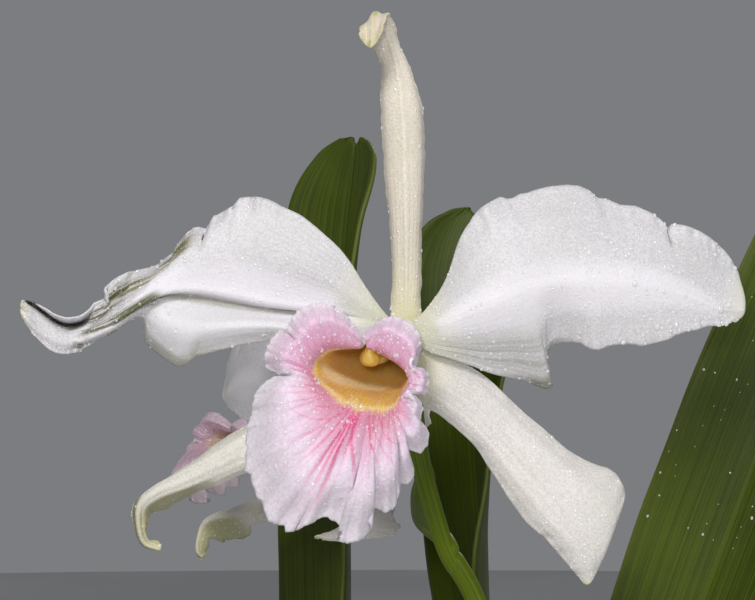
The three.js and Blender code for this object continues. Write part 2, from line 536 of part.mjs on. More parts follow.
function makePot() {
  const { height, topRadius, baseRadius, wall, floor, rimHeight, rimStep } = POT;
  const rimFoot = height - rimHeight;
  const sideRadius = (level) => baseRadius + ((topRadius - rimStep - baseRadius) * level) / rimFoot;
  const profile = [
    [0, 0], [baseRadius - 2, 0], [baseRadius, 2], [sideRadius(rimFoot), rimFoot],
    [topRadius - 1.5, rimFoot], [topRadius, rimFoot + 2], [topRadius, height - 2], [topRadius - 2, height],
    [topRadius - wall + 1, height], [topRadius - wall, height - 2], [topRadius - wall - 1.5, rimFoot],
    [baseRadius - wall, floor + 3], [baseRadius - wall - 4, floor], [0, floor],
  ].map(([radius, level]) => new THREE.Vector2(radius, level));
  let pot = solidOf(upright(new THREE.LatheGeometry(profile, 36)));
  for (let index = 0; index < DRAIN.count; index += 1) {
    const angle = (2 * Math.PI * index) / DRAIN.count + Math.PI / 6;
    const hole = upright(new THREE.CylinderGeometry(DRAIN.radius, DRAIN.radius, 3 * floor, 12));
    hole.translate(DRAIN.fromAxis * Math.cos(angle), DRAIN.fromAxis * Math.sin(angle), 0);
    pot = pot.subtract(solidOf(hole));
  }
  return piece('clay_pot', geometryFrom(pot), material('pot', 0.85));
}

function makeBark() {
  const rimFoot = POT.height - POT.rimHeight;
  const innerFoot = POT.baseRadius - POT.wall - BARK.gap;
  const wallFoot = POT.floor + 3;
  const inner = (level) => THREE.MathUtils.mapLinear(level, wallFoot, rimFoot, innerFoot, BARK_RIM);
  const profile = [
    [0, BARK.bottom], [innerFoot - 4.4, BARK.bottom], [inner(BARK.bottom + 4), BARK.bottom + 4],
    [BARK_RIM, rimFoot], [BARK_RIM, BARK.top], [BARK_SHOULDER.radius, BARK_SHOULDER.level],
    [0, BARK.top + BARK.dome],
  ].map(([radius, level]) => new THREE.Vector2(radius, level));
  return piece('potting_bark', upright(new THREE.LatheGeometry(profile, 36)), material('bark', 0.95));
}

const plant = new THREE.Group();
const frontFlower = makeFlower('front_flower', LEFT_PETAL, {});
frontFlower.position.set(...FLOWER.front);
// The back flower's left petal grows from the same root as the front one's.
const backLeftPetal = [...LEFT_PETAL.slice(0, 2), ...mirrored(RIGHT_PETAL.slice(2))];
const backFlower = makeFlower('back_flower', backLeftPetal, {
  nod: 0.022, leftSweep: 0.0012, rightSweep: -0.008, lipBend: 0.0095, leftBend: 0.014, rightBend: 0.03,
});
backFlower.position.set(...FLOWER.back);
const backTurn = [-BACK_FLOWER.lift, 0, BACK_FLOWER.turn].map(THREE.MathUtils.degToRad);
backFlower.rotation.set(...backTurn, 'ZXY');
backFlower.scale.setScalar(BACK_FLOWER.scale);
plant.add(makePot(), makeBark(), makeRootstock(), makeGrowths(), makeStems(), frontFlower, backFlower);

export default plant;
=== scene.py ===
import math

import bpy
import numpy as np
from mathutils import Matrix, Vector


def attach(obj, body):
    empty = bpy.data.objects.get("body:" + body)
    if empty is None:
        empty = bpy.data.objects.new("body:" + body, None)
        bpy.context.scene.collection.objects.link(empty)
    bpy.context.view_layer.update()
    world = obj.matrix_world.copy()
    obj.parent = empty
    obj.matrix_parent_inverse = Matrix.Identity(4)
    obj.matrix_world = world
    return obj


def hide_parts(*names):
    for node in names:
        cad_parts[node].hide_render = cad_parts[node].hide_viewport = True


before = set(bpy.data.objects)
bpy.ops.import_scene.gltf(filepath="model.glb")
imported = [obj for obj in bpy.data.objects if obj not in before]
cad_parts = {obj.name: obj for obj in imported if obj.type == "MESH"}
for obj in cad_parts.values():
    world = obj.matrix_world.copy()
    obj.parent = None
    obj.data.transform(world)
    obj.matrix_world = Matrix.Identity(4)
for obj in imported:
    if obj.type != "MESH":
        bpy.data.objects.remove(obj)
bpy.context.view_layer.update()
MM = 0.001
rng = np.random.default_rng(7)

# The picture: its size, the pixel at the middle of the front flower, and millimetres per pixel there
PICTURE = (755, 600)
FLOWER_PIXEL = (405, 330)
PIXEL = 0.25
VIEW_DISTANCE = 700.0
EYE = (-6.9, 7.5)
FRONT_FLOWER = np.array([-17.0, -60.0, 490.0])
BACK_FLOWER = {"place": np.array([-35.0, 52.0, 463.0]), "turn": -52, "lift": -2, "scale": 0.82}


# Curves and surfaces, the same as the part's own

def catmull(points, t):
    p = np.asarray(points, float)
    p = np.concatenate([[2 * p[0] - p[1]], p, [2 * p[-1] - p[-2]]])
    at = np.clip(np.asarray(t, float), 0, 1) * (len(p) - 3)
    i = np.minimum(at.astype(int), len(p) - 4)
    f = (at - i).reshape(-1, *([1] * (p.ndim - 1)))
    a, b, c, d = p[i], p[i + 1], p[i + 2], p[i + 3]
    return b + 0.5 * f * (c - a + f * (2 * a - 5 * b + 4 * c - d + f * (3 * (b - c) + d - a)))


# One value for each step, as a column
def spread(values, steps):
    return catmull([[value] for value in values], steps)


def unit(v):
    return v / np.maximum(np.linalg.norm(v, axis=-1, keepdims=True), 1e-9)


def by_length(points, steps):
    fine = catmull(points, np.linspace(0, 1, 400))
    length = np.concatenate([[0], np.cumsum(np.linalg.norm(np.diff(fine, axis=0), axis=1))])
    t = np.interp(np.asarray(steps) * length[-1], length, np.linspace(0, 1, 400))
    return catmull(points, t)


def seen(p):
    p = np.asarray(p, float)
    s = (VIEW_DISTANCE + p[..., 2]) / VIEW_DISTANCE
    return np.stack([(p[..., 0] - EYE[0]) * s + EYE[0], p[..., 2], (p[..., 1] - EYE[1]) * s + EYE[1]], -1)


def picture(q):
    s = (VIEW_DISTANCE + q[..., 1]) / VIEW_DISTANCE
    return np.stack([(q[..., 0] - EYE[0]) / s + EYE[0], (q[..., 2] - EYE[1]) / s + EYE[1], q[..., 1]], -1)


def smooth(low, high, x):
    t = np.clip((x - low) / (high - low), 0, 1)
    return t * t * (3 - 2 * t)


def bump(x, middle, width):
    return np.exp(-(((x - middle) / width) ** 2))


def window(x, low, high, soft):
    return smooth(low - soft, low + soft, x) * (1 - smooth(high - soft, high + soft, x))


def waves(x, counts, seed):
    phases = np.random.default_rng(seed).uniform(0, 2 * math.pi, len(counts))
    return sum(np.sin(2 * math.pi * n * x + p) for n, p in zip(counts, phases)) / math.sqrt(len(counts))


def circle(count):
    return 2 * math.pi * np.arange(count) / count


# Points round the upright axis, as (right, behind, up)
def polar(radius, angle, level=0.0):
    return np.stack(np.broadcast_arrays(radius * np.cos(angle), radius * np.sin(angle), level), -1)


def crossed(rows, columns):
    return np.meshgrid(rows, columns, indexing="ij")


# A share of the radius: 1 up to the start, then falling as a round end does
def round_end(x, start, length, least=0.05):
    return np.sqrt(np.clip(1 - np.clip((x - start) / length, 0, 1) ** 2, least, 1))[:, None]


def ribbon(left, middle, right, swells, along, across):
    rails = [catmull(rail, along) for rail in (left, middle, right)]
    tangent = unit(catmull(middle, along + 1e-4) - catmull(middle, along - 1e-4))
    swell = catmull(swells, along)

    def halfway(edge, amount, side):
        chord = edge - rails[1]
        return rails[1] + chord / 2 + unit(side * np.cross(chord, tangent)) * amount[:, None]

    section = np.stack([rails[0], halfway(rails[0], swell[:, 0], -1), rails[1],
                        halfway(rails[2], swell[:, 1], 1), rails[2]])
    return catmull(section, (across + 1) / 2).transpose(1, 0, 2)


# Outlines traced from the picture, from base to tip

def traced(pixels):
    return [((x - FLOWER_PIXEL[0]) * PIXEL, (FLOWER_PIXEL[1] - y) * PIXEL) for x, y in pixels]


def blurred(values, reach):
    if reach < 1:
        return values
    kernel = np.exp(-0.5 * (np.arange(-3 * reach, 3 * reach + 1) / reach) ** 2)
    kernel /= kernel.sum()
    padded = np.pad(values, ((3 * reach, 3 * reach), (0, 0)), mode="edge")
    return np.stack([np.convolve(padded[:, k], kernel, "valid") for k in range(values.shape[1])], 1)


# How far along the edge each next point is looked for: a share of the edge for the first one, then a multiple
# of the distance between two points, and millimetres to spare
FIRST_SEARCH, SEARCH_SHARE, SEARCH_SPARE = 0.7, 2.0, 0.8


# How far a traced outline lies from a surface's edge, at each step along the edge
def edge_shift(edge, outline, soften=0.0):
    edge, outline = edge[:, :2], np.asarray(outline)
    count, spots, start = len(edge), [], 0
    length = np.concatenate([[0], np.cumsum(np.hypot(*np.diff(edge, axis=0).T))])
    allowed = FIRST_SEARCH * length[-1]
    for index, point in enumerate(outline):
        if index:
            allowed = SEARCH_SHARE * math.hypot(*(point - outline[index - 1])) + SEARCH_SPARE
        end = int(np.searchsorted(length, length[start] + allowed)) + 1
        start += int(np.hypot(*(edge[start:end] - point).T).argmin())
        spots.append(start)
        start = min(start + 1, count - 1)
    shift = outline - edge[spots]
    found = np.stack([np.interp(np.arange(count), spots, shift[:, k]) for k in (0, 1)], 1)
    return blurred(found, int(soften * count))


OUTLINE_SOFTNESS = 0.004
# The share of each half that the outline leaves alone, and the depth of a round end as a share of its width
STEADY_MIDDLE = 0.3
TIP_DEPTH = 0.4


# Draws a grid's two sides to their traced outlines, as far along as followed says, and rounds its end
def shaped(grid, along, across, left, right, followed=2.0):
    p = picture(grid)
    fade = 1 - smooth(followed, followed + 0.08, along)
    for side, outline in ((-1, left), (1, right)):
        column = 0 if side < 0 else -1
        shift = edge_shift(p[:, column], traced(outline), OUTLINE_SOFTNESS) * fade[:, None]
        weight = smooth(STEADY_MIDDLE, 1, side * across)
        p[..., :2] += shift[:, None] * weight[None, :, None]
    middle = p.shape[1] // 2
    onward = unit(p[-1, middle, :2] - p[-10, middle, :2])
    depth = TIP_DEPTH * math.hypot(*(p[-1, 0, :2] - p[-1, -1, :2]))
    p[..., :2] += onward * depth * (smooth(0.93, 1.0, along)[:, None] * (1 - across ** 2)[None])[..., None]
    return p


# Mesh making

UV_NAME = "along_across"


def mesh_from(name, points, faces, corners=None, smooth_faces=True):
    mesh = bpy.data.meshes.new(name)
    mesh.from_pydata((np.asarray(points) * MM).tolist(), [], faces)
    if corners is not None:
        layer = mesh.uv_layers.new(name=UV_NAME)
        layer.uv.foreach_set("vector", np.asarray(corners, np.float32).reshape(-1))
    if smooth_faces:
        mesh.polygons.foreach_set("use_smooth", [True] * len(mesh.polygons))
    mesh.validate()
    mesh.update()
    return mesh


def add_piece(mesh, paint, slot, *nodes):
    obj = bpy.data.objects.new(mesh.name, mesh)
    bpy.context.scene.collection.objects.link(obj)
    mesh.materials.append(PAINTS[paint])
    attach(obj, "root")
    if nodes:
        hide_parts(*nodes)
    return obj


def normals_of(grid):
    return unit(np.cross(np.gradient(grid, axis=1), np.gradient(grid, axis=0)))


def cells(rows, columns):
    i, j = crossed(np.arange(rows - 1), np.arange(columns - 1))
    a = (i * columns + j).reshape(-1)
    return np.stack([a, a + 1, a + columns + 1, a + columns], 1)


# A closed thin sheet round a grid of points, thinner at its edge
def sheet_mesh(name, grid, thickness, edge):
    rows, columns = grid.shape[:2]
    i, j = crossed(np.arange(rows), np.arange(columns))
    inward = np.minimum(np.minimum(i, rows - 1 - i), np.minimum(j, columns - 1 - j))
    half = (edge + (thickness - edge) * np.clip(inward / 2, 0, 1))[..., None] / 2
    offset = normals_of(grid) * half
    points = np.concatenate([(grid + offset).reshape(-1, 3), (grid - offset).reshape(-1, 3)])
    count = rows * columns
    front = cells(rows, columns)
    border = np.concatenate([
        np.arange(columns - 1), np.arange(rows - 1) * columns + columns - 1,
        count - 1 - np.arange(columns - 1), (np.arange(rows - 1, 0, -1)) * columns,
    ])
    onward = np.roll(border, -1)
    rim = np.stack([onward, border, border + count, onward + count], 1)
    quads = np.concatenate([front, front[:, ::-1] + count, rim])
    uv = np.stack([i / (rows - 1), j / (columns - 1)], -1).reshape(-1, 2)
    return mesh_from(name, points, quads.tolist(), np.concatenate([uv, uv])[quads])


# A closed round body from rings of points and a point at each end
def tube_mesh(name, ring, ends):
    rings, sides = ring.shape[:2]
    i, k = (v.reshape(-1) for v in crossed(np.arange(rings - 1), np.arange(sides)))
    low, after = i * sides, (k + 1) % sides
    faces = np.stack([low + k, low + after, low + sides + after, low + sides + k], 1).tolist()
    u = np.stack([i, i, i + 1, i + 1], 1) / (rings - 1)
    v = np.stack([k, k + 1, k + 1, k], 1) / sides
    corners = np.stack([u, v], -1).reshape(-1, 2).tolist()
    first, top = rings * sides, (rings - 1) * sides
    for n in range(sides):
        m = (n + 1) % sides
        faces += [[first, m, n], [first + 1, top + n, top + m]]
        middle, here, onward = (n + 0.5) / sides, n / sides, (n + 1) / sides
        corners += [[0, middle], [0, onward], [0, here], [1, middle], [1, here], [1, onward]]
    return mesh_from(name, np.concatenate([ring.reshape(-1, 3), ends]), faces, corners)


# A tube along its centres, with a radius for each centre or for each point of each ring
def rod_mesh(name, centres, radii, sides):
    tangent = unit(np.gradient(centres, axis=0))
    side = np.cross(tangent[0], (0, 1, 0) if abs(tangent[0][1]) < 0.9 else (1, 0, 0))
    normals = []
    for t in tangent:
        side = unit(side - t * np.dot(side, t))
        normals.append(side)
    normals = np.array(normals)
    binormals = np.cross(tangent, normals)
    angle = circle(sides)[None, :, None]
    radius = np.broadcast_to(radii, (len(centres), sides))[..., None]
    ring = radius * (normals[:, None] * np.cos(angle) + binormals[:, None] * np.sin(angle))
    return tube_mesh(name, centres[:, None] + ring, centres[[0, -1]])


# A tube round the upright axis through the (radius, level) points of a profile
def lathe_mesh(name, profile, sides):
    profile, angle = np.array(profile), circle(sides)
    radius, level = profile[1:-1, :1], profile[1:-1, 1:]
    return tube_mesh(name, polar(radius, angle, level), [(0, 0, profile[0, 1]), (0, 0, profile[-1, 1])])


# Node materials

def srgb(r, g, b):
    def linear(v):
        v /= 255
        return v / 12.92 if v <= 0.04045 else ((v + 0.055) / 1.055) ** 2.4
    return (linear(r), linear(g), linear(b), 1.0)


class Value:
    """A number or colour that the nodes of one material work out."""

    def __init__(self, paint, node, output=0):
        self.paint = paint
        self.socket = node.outputs[output]

    def math(self, operation, other=0.0):
        made = self.paint.node("Math", {"operation": operation})
        self.paint.set(made.inputs[0], self)
        self.paint.set(made.inputs[1], other)
        return Value(self.paint, made)

    def __add__(self, other):
        return self.math("ADD", other)

    def __sub__(self, other):
        return self.math("SUBTRACT", other)

    def __mul__(self, other):
        return self.math("MULTIPLY", other)

    def __abs__(self):
        return self.math("ABSOLUTE")

    def between(self, low, high, start=0.0, end=1.0):
        return Value(self.paint, self.paint.node("MapRange", {"interpolation_type": "SMOOTHSTEP"}, Value=self,
                                                 From_Min=low, From_Max=high, To_Min=start, To_Max=end))


class Paint:
    """One material, with the colour and the bumps that its nodes have made so far."""

    def __init__(self, name, **constants):
        self.material = bpy.data.materials.new(name)
        self.material.use_nodes = True
        self.tree = self.material.node_tree
        self.shader = self.tree.nodes["Principled BSDF"]
        for socket, value in constants.items():
            self.shader.inputs[socket.replace("_", " ")].default_value = value
        self.place = Value(self, self.node("TexCoord"), "Object")
        self.colour = self.normal = None

    def node(self, kind, settings=None, **inputs):
        made = self.tree.nodes.new("ShaderNode" + kind)
        for key, value in (settings or {}).items():
            setattr(made, key, value)
        for key, value in inputs.items():
            self.set(made.inputs[key.replace("_", " ")], value)
        return made

    def set(self, socket, value):
        if isinstance(value, Value):
            self.tree.links.new(value.socket, socket)
        elif value is not None:
            socket.default_value = value

    def uv(self):
        parts = self.node("SeparateXYZ", Vector=Value(self, self.node("UVMap", {"uv_map": UV_NAME})))
        self.along, self.across = Value(self, parts, 0), Value(self, parts, 1)
        return self.along, self.across

    def vector(self, x=0.0, y=0.0, z=0.0):
        return Value(self, self.node("CombineXYZ", X=x, Y=y, Z=z))

    def noise(self, scale, detail=3.0, roughness=0.5, over=None):
        return Value(self, self.node("TexNoise", Vector=over or self.place, Scale=scale, Detail=detail,
                                     Roughness=roughness), "Fac")

    def streaks(self, along, across, detail=3.0, roughness=0.5):
        return self.noise(1.0, detail, roughness, self.vector(self.along * along, self.across * across))

    def ramp(self, value, stops):
        made = self.node("ValToRGB", Fac=value)
        elements = made.color_ramp.elements
        while len(elements) < len(stops):
            elements.new(0.5)
        for element, (position, colour) in zip(elements, stops):
            element.position = position
            element.color = colour
        return Value(self, made, "Color")

    def mix(self, amount, a, b):
        made = self.node("Mix", {"data_type": "RGBA"})
        for socket, value in ((0, amount), (6, a), (7, b)):
            self.set(made.inputs[socket], value)
        return Value(self, made, 2)

    def layer(self, amount, colour):
        self.colour = self.mix(amount, self.colour, colour)

    def raised(self, height, distance, strength=1.0):
        self.normal = Value(self, self.node("Bump", Height=height, Distance=distance, Strength=strength,
                                            Normal=self.normal))

    def done(self, roughness=None):
        for socket, value in (("Base Color", self.colour), ("Roughness", roughness), ("Normal", self.normal)):
            self.set(self.shader.inputs[socket], value)
        return self.material


# Fine dew: cells in a metre, the share of them that holds a drop, and the height of a drop in metres; each
# drop is also painted white as a painted glint
FINE_DEW = ((1900.0, 0.34, 0.00012), (900.0, 0.1, 0.00025))


def fine_dew(p, scale, share):
    cell = p.node("TexVoronoi", Vector=p.place, Scale=scale)
    tone = Value(p, p.node("SeparateColor", Color=Value(p, cell, "Color")))
    return Value(p, cell, "Distance").between(0.42, 0.05) * tone.math("LESS_THAN", share)


def dew_with_painted_glints(p, plain):
    small, large = (fine_dew(p, scale, share) for scale, share, _ in FINE_DEW)
    drop_glints = small.math("MAXIMUM", large)
    # the drops are painted white: painted glints of the dew
    p.layer(drop_glints * 0.75, srgb(255, 255, 255))
    for field, (_, _, height) in zip((small, large), FINE_DEW):
        p.raised(field, height, 0.6)
    return p.done(drop_glints.between(0.1, 0.6, plain, 0.2))


# Soft white tissue: fine veins along it, greener at the base and towards the tip
def tissue(name, pale, shade, base, tip, veins, tip_from=0.92, vein_depth=0.00005, marks=None):
    p = Paint(name, Subsurface_Weight=0.12, Subsurface_Scale=0.0012, Subsurface_Radius=(1.0, 0.85, 0.7),
              Sheen_Weight=0.08, Sheen_Roughness=0.4)
    along, across = p.uv()
    line = (across * (veins * 6.283) + p.streaks(3.0, 5.0, 2.0) * 7.0).math("SINE").between(0.3, 1.0)
    at_base = line * along.between(0.5, 0.1)
    p.colour = p.mix(p.noise(35.0, 4.0).between(0.35, 0.7, 0.0, 0.4), pale, shade)
    p.layer(line * p.noise(70.0).between(0.4, 0.75, 0.0, 0.16) + at_base * 0.22, shade)
    p.layer(p.noise(1700.0, 2.0, 0.6).between(0.34, 0.62, 0.55, 0.0), shade)
    p.layer(along.between(0.2, 0.0, 0.0, 0.7), base)
    p.layer(along.between(tip_from, 1.0, 0.0, 0.85), tip)
    if marks:
        marks(p, along, across)
    p.raised(at_base, vein_depth, 0.5)
    p.raised(p.noise(260.0), 0.0005, 0.4)
    return dew_with_painted_glints(p, 0.5)


# A stripe fades in and out over this reach, and is full over this share of its width
STRIPE_FADE, STRIPE_CORE = 0.02, 0.3


# A soft stripe along a line of (along, across) points
def stripe(p, points, width, across=None):
    curve = p.node("FloatCurve", Value=p.along, Factor=1.0)
    line = curve.mapping.curves[0]
    spots = [(a, (c + 1) / 2) for a, c in points]
    line.points[0].location = spots[0]
    line.points[1].location = spots[-1]
    for spot in spots[1:-1]:
        line.points.new(*spot)
    curve.mapping.update()
    start, end = spots[0][0], spots[-1][0]
    reach = p.along.between(start - STRIPE_FADE, start + STRIPE_FADE)
    reach = reach * p.along.between(end + STRIPE_FADE, end - STRIPE_FADE)
    return abs((across or p.across) - Value(p, curve)).between(width, STRIPE_CORE * width) * reach


def striped(p, *rows):
    for points, width, strength, colour in rows:
        p.layer(stripe(p, points, width) * strength, colour)


def left_petal_marks(p, along, across):
    streaked = p.streaks(9.0, 26.0).between(0.38, 0.56, 0.3, 0.95)
    spots = p.noise(500.0, 2.0).between(0.4, 0.56, 0.35, 0.9)
    striped(
        p,
        # painted shade in the crease along the petal's middle
        ([(0.16, -0.1), (0.33, -0.09), (0.5, -0.05), (0.68, 0.06)], 0.055, 0.85, srgb(112, 114, 76)),
        # painted highlights along the lower lobe's bulge and along the bulge above the crease
        ([(0.1, -0.45), (0.25, -0.5), (0.4, -0.52), (0.54, -0.5)], 0.36, 0.4, srgb(238, 236, 242)),
        ([(0.14, 0.16), (0.33, 0.17), (0.5, 0.22), (0.64, 0.32)], 0.16, 0.6, srgb(240, 236, 244)),
        # dark olive lines along the neck, broken up by streaks
        ([(0.56, -0.04), (0.6, 0.01), (0.68, 0.06), (0.78, 0.02)], 0.13, streaked, srgb(84, 84, 40)),
        ([(0.5, 0.8), (0.57, 0.74), (0.64, 0.62), (0.7, 0.6)], 0.1, streaked, srgb(104, 98, 54)),
        ([(0.66, 0.66), (0.72, 0.55), (0.77, 0.5), (0.81, 0.4)], 0.14, streaked, srgb(80, 80, 40)),
        # painted olive shade in the crinkles of the neck's lower margin
        ([(0.62, -0.8), (0.68, -0.75), (0.74, -0.7), (0.8, -0.5)], 0.14, spots, srgb(96, 98, 56)),
    )
    # painted shade deep in the tip's scoop, along its groove
    p.layer(stripe(p, LEFT_TIP_GROOVE, 0.13).between(0.05, 0.5), srgb(52, 54, 26))
    turned_under = across.between(0.11, 0.05) * along.between(0.62, 0.56)
    p.layer(turned_under * along.between(0.36, 0.44, 0.0, 0.55), srgb(176, 178, 152))


# Grey streaks fan out over the lower lobe's base, and its rolled margin is dull; a painted highlight runs
# along the ridge
def right_petal_marks(p, along, across):
    fan = p.streaks(2.0, 60.0, 2.0).between(0.4, 0.62, 0.1, 0.55)
    p.layer(across.between(0.6, 0.85) * along.between(0.46, 0.34) * fan, srgb(164, 164, 152))
    # a painted highlight along the ridge
    striped(p, (PETAL_RIDGE, 0.2, 0.55, srgb(242, 238, 244)),
            ([(0.3, 1.0), (0.34, 0.97), (0.4, 0.95), (0.45, 1.0)], 0.06, 0.6, srgb(140, 142, 120)))


def dorsal_marks(p, along, across):
    striped(p, ([(0.86, 0.3), (0.91, 0.1), (0.96, 0.0), (1.0, -0.1)], 0.09, 0.7, srgb(158, 158, 60)))
    p.layer(across.between(0.2, 0.02) * along.between(0.84, 0.9) * 0.5, srgb(196, 190, 112))
    bulge = p.noise(220.0, 1.0).between(0.45, 0.62)
    p.layer(bulge * along.between(0.88, 0.94, 0.0, 0.45), srgb(232, 218, 208))


def left_sepal_marks(p, along, across):
    p.layer(across.between(0.36, 0.28) * along.between(0.45, 0.55) * 0.75, srgb(150, 150, 92))
    p.layer(along.between(0.7, 0.8, 0.0, 0.55), srgb(206, 200, 158))
    striped(p, ([(0.7, 0.5), (0.8, 0.4), (0.9, 0.4), (1.0, 0.4)], 0.14, 0.8, srgb(96, 94, 44)))


def lip_paint(name, painted_shade=0.0):
    p = Paint(name, Subsurface_Weight=0.35, Subsurface_Scale=0.0025, Subsurface_Radius=(1.0, 0.7, 0.75),
              Sheen_Weight=0.06, Sheen_Roughness=0.4)
    along, across = p.uv()
    wander = p.streaks(6.0, 16.0)
    line = abs((across * 62.0 + wander * 2.2).math("FRACT") - 0.5).between(0.2, 0.0)
    # pale at the rim, pink towards the mouth and all over the two side lobes
    p.colour = p.ramp(along + (p.noise(60.0, 4.0) - 0.5) * 0.25, [
        (0.5, srgb(206, 124, 142)), (0.57, srgb(208, 138, 160)), (0.66, srgb(218, 172, 196)),
        (0.78, srgb(230, 210, 228)), (0.97, srgb(230, 223, 231)),
    ])
    side_lobe = abs(across - 0.5).between(0.24, 0.32)
    p.layer(side_lobe * along.between(1.0, 0.75, 0.15, 0.6), srgb(210, 154, 188))
    alone = p.noise(1.0, 1.0, over=p.vector(0.0, across * 31.0))
    vein = line * alone.between(0.35, 0.62, 0.2, 1.0)
    p.layer(vein * along.between(0.92, 0.52, 0.04, 0.42), srgb(208, 92, 150))
    glow = abs(across - 0.535).between(0.07, 0.0)
    p.layer(glow * along.between(0.86, 0.54, 0.0, 0.35), srgb(236, 140, 184))
    sway = across + (wander - 0.5) * 0.012
    for start, end, width, reach, strength in LIP_VEINS:
        drawn = stripe(p, [(0.5, start), (0.53, start), (0.8, end), (reach + 0.06, end)], width, sway)
        p.layer(drawn * along.between(reach, 0.6, 0.0, strength), srgb(214, 62, 126))
    # golden throat with brown lines; painted olive shade under its roof, painted light deeper in, and a
    # painted highlight streak
    low = abs(across - 0.46)
    gold = p.mix(p.noise(110.0).between(0.4, 0.65), srgb(222, 164, 28), srgb(232, 184, 60))
    # a cream streak across the throat: a painted highlight
    streak = stripe(p, [(0.26, 0.02), (0.32, 0.16), (0.38, 0.36), (0.44, 0.48)], 0.1)
    for amount, tone in (
        (line * low.between(0.4, 0.12, 0.1, 0.5), srgb(190, 136, 30)),
        # painted olive shade under the roof
        (low.between(0.3, 0.46, 0.0, 0.4), srgb(206, 178, 54)),
        # painted light: the gold is brighter deeper in the tube
        (along.between(0.42, 0.16, 0.0, 0.85), srgb(250, 208, 78)),
        (streak * 0.5, srgb(252, 236, 190)),
    ):
        gold = p.mix(amount, gold, tone)
    border = along + (wander - 0.5) * 0.07
    cream = p.mix(border.between(0.5, 0.545), srgb(240, 206, 120), p.colour)
    p.colour = p.mix(border.between(0.475, 0.51), gold, cream)
    # the back flower's lip is greyed all over: painted shade
    p.layer(along.between(0.0, 0.01, 0.0, painted_shade), srgb(166, 150, 158))
    p.layer(p.noise(1200.0, 2.0, 0.6).between(0.36, 0.6, 0.35, 0.0), srgb(200, 172, 190))
    p.raised(line, 0.00008, 0.5)
    p.raised(p.noise(260.0), 0.0005, 0.4)
    return dew_with_painted_glints(p, 0.48)


def waxy(name, low, high):
    p = Paint(name, Subsurface_Weight=0.12, Subsurface_Scale=0.001)
    p.colour = p.mix(p.noise(200.0).between(0.35, 0.65), low, high)
    p.raised(p.noise(900.0, 2.0), 0.0002, 0.4)
    return p.done(0.38)


# Green skin with fine lines along it; a leaf also has a pale midrib and a margin
def green(name, dark, light, lines, gloss, margin=None):
    p = Paint(name, Coat_Weight=0.04, Coat_Roughness=0.25, Specular_IOR_Level=0.22)
    _, across = p.uv()
    streak = p.streaks(2.0, lines)
    p.colour = p.mix((streak * 0.6 + p.noise(28.0, 4.0) * 0.4).between(0.35, 0.66), dark, light)
    if margin:
        middle = abs(across - 0.5)
        p.layer(middle.between(0.03, 0.0, 0.0, 0.45), light)
        p.layer(middle.between(0.485, 0.5, 0.0, 0.6), margin)
    p.raised(streak, 0.00025, 0.5)
    p.raised(p.noise(700.0, 2.0), 0.0002, 0.35)
    return p.done(p.noise(45.0).between(0.3, 0.7, gloss - 0.07, gloss + 0.1))


def fibrous(name, pale, dark, lines):
    p = Paint(name, Subsurface_Weight=0.05, Subsurface_Scale=0.0008)
    along, _ = p.uv()
    fibre = p.streaks(3.0, lines, 4.0, 0.65)
    p.colour = p.mix(fibre.between(0.35, 0.65), pale, dark)
    p.layer(p.noise(60.0, 4.0).between(0.52, 0.72, 0.0, 0.6), srgb(104, 82, 52))
    p.layer(along.between(0.75, 1.0, 0.0, 0.45), srgb(120, 92, 58))
    p.raised(fibre, 0.0004, 0.8)
    return p.done(fibre.between(0.3, 0.7, 0.85, 0.6))


def root_paint(name):
    p = Paint(name)
    along, _ = p.uv()
    p.colour = p.mix(p.noise(90.0, 4.0).between(0.35, 0.68), srgb(206, 206, 192), srgb(158, 160, 136))
    p.layer(along.between(0.93, 0.97), srgb(132, 158, 62))
    p.raised(p.noise(800.0, 4.0, 0.7), 0.0004, 0.6)
    return p.done(0.75)


def bark_paint(name, dark):
    p = Paint(name)
    p.colour = p.ramp(p.noise(26.0, 2.0), [(0.3, srgb(52, 34, 24)), (0.45, srgb(92, 60, 40)),
                                           (0.58, srgb(134, 92, 62)), (0.72, srgb(168, 128, 94))])
    flattened = Value(p, p.node("Mapping", Vector=p.place, Scale=(90.0, 90.0, 900.0)))
    layer = p.noise(1.0, 4.0, 0.7, flattened)
    p.layer(layer.between(0.4, 0.62, 0.0, dark), srgb(34, 22, 16))
    p.raised(layer, 0.0008, 0.8)
    p.raised(p.noise(900.0, 4.0, 0.7), 0.0005, 0.6)
    return p.done(0.85)


def terracotta(name):
    p = Paint(name)
    height = Value(p, p.node("SeparateXYZ", Vector=p.place), 2)
    p.colour = p.mix(p.noise(14.0, 5.0).between(0.35, 0.65), srgb(186, 104, 66), srgb(160, 82, 50))
    p.layer(p.noise(420.0).between(0.6, 0.72, 0.0, 0.6), srgb(120, 66, 44))
    bloom = p.noise(24.0, 6.0, 0.65) * height.between(0.0, 0.14, 1.15, 0.85)
    p.layer(bloom.between(0.5, 0.66, 0.0, 0.5), srgb(206, 184, 164))
    damp = height + p.noise(18.0, 4.0) * 0.035
    p.layer(damp.between(0.036, 0.012, 0.0, 0.55), srgb(92, 76, 48))
    p.raised(p.noise(1.0, 3.0, over=p.vector(z=height * 420.0)), 0.0004, 0.5)
    p.raised(p.noise(650.0, 5.0, 0.7), 0.0005, 0.6)
    return p.done(0.88)


# Dew drops: clear water, given a near-white colour as a painted sparkle
def water_with_painted_sparkle(name):
    p = Paint(name, Roughness=0.05, IOR=1.33, Coat_Weight=1.0, Coat_Roughness=0.03, Alpha=0.5)
    p.colour = p.mix(p.noise(200.0, 1.0).between(0.3, 0.7), (0.97, 0.98, 1.0, 1.0), (1.0, 1.0, 1.0, 1.0))
    return p.done()


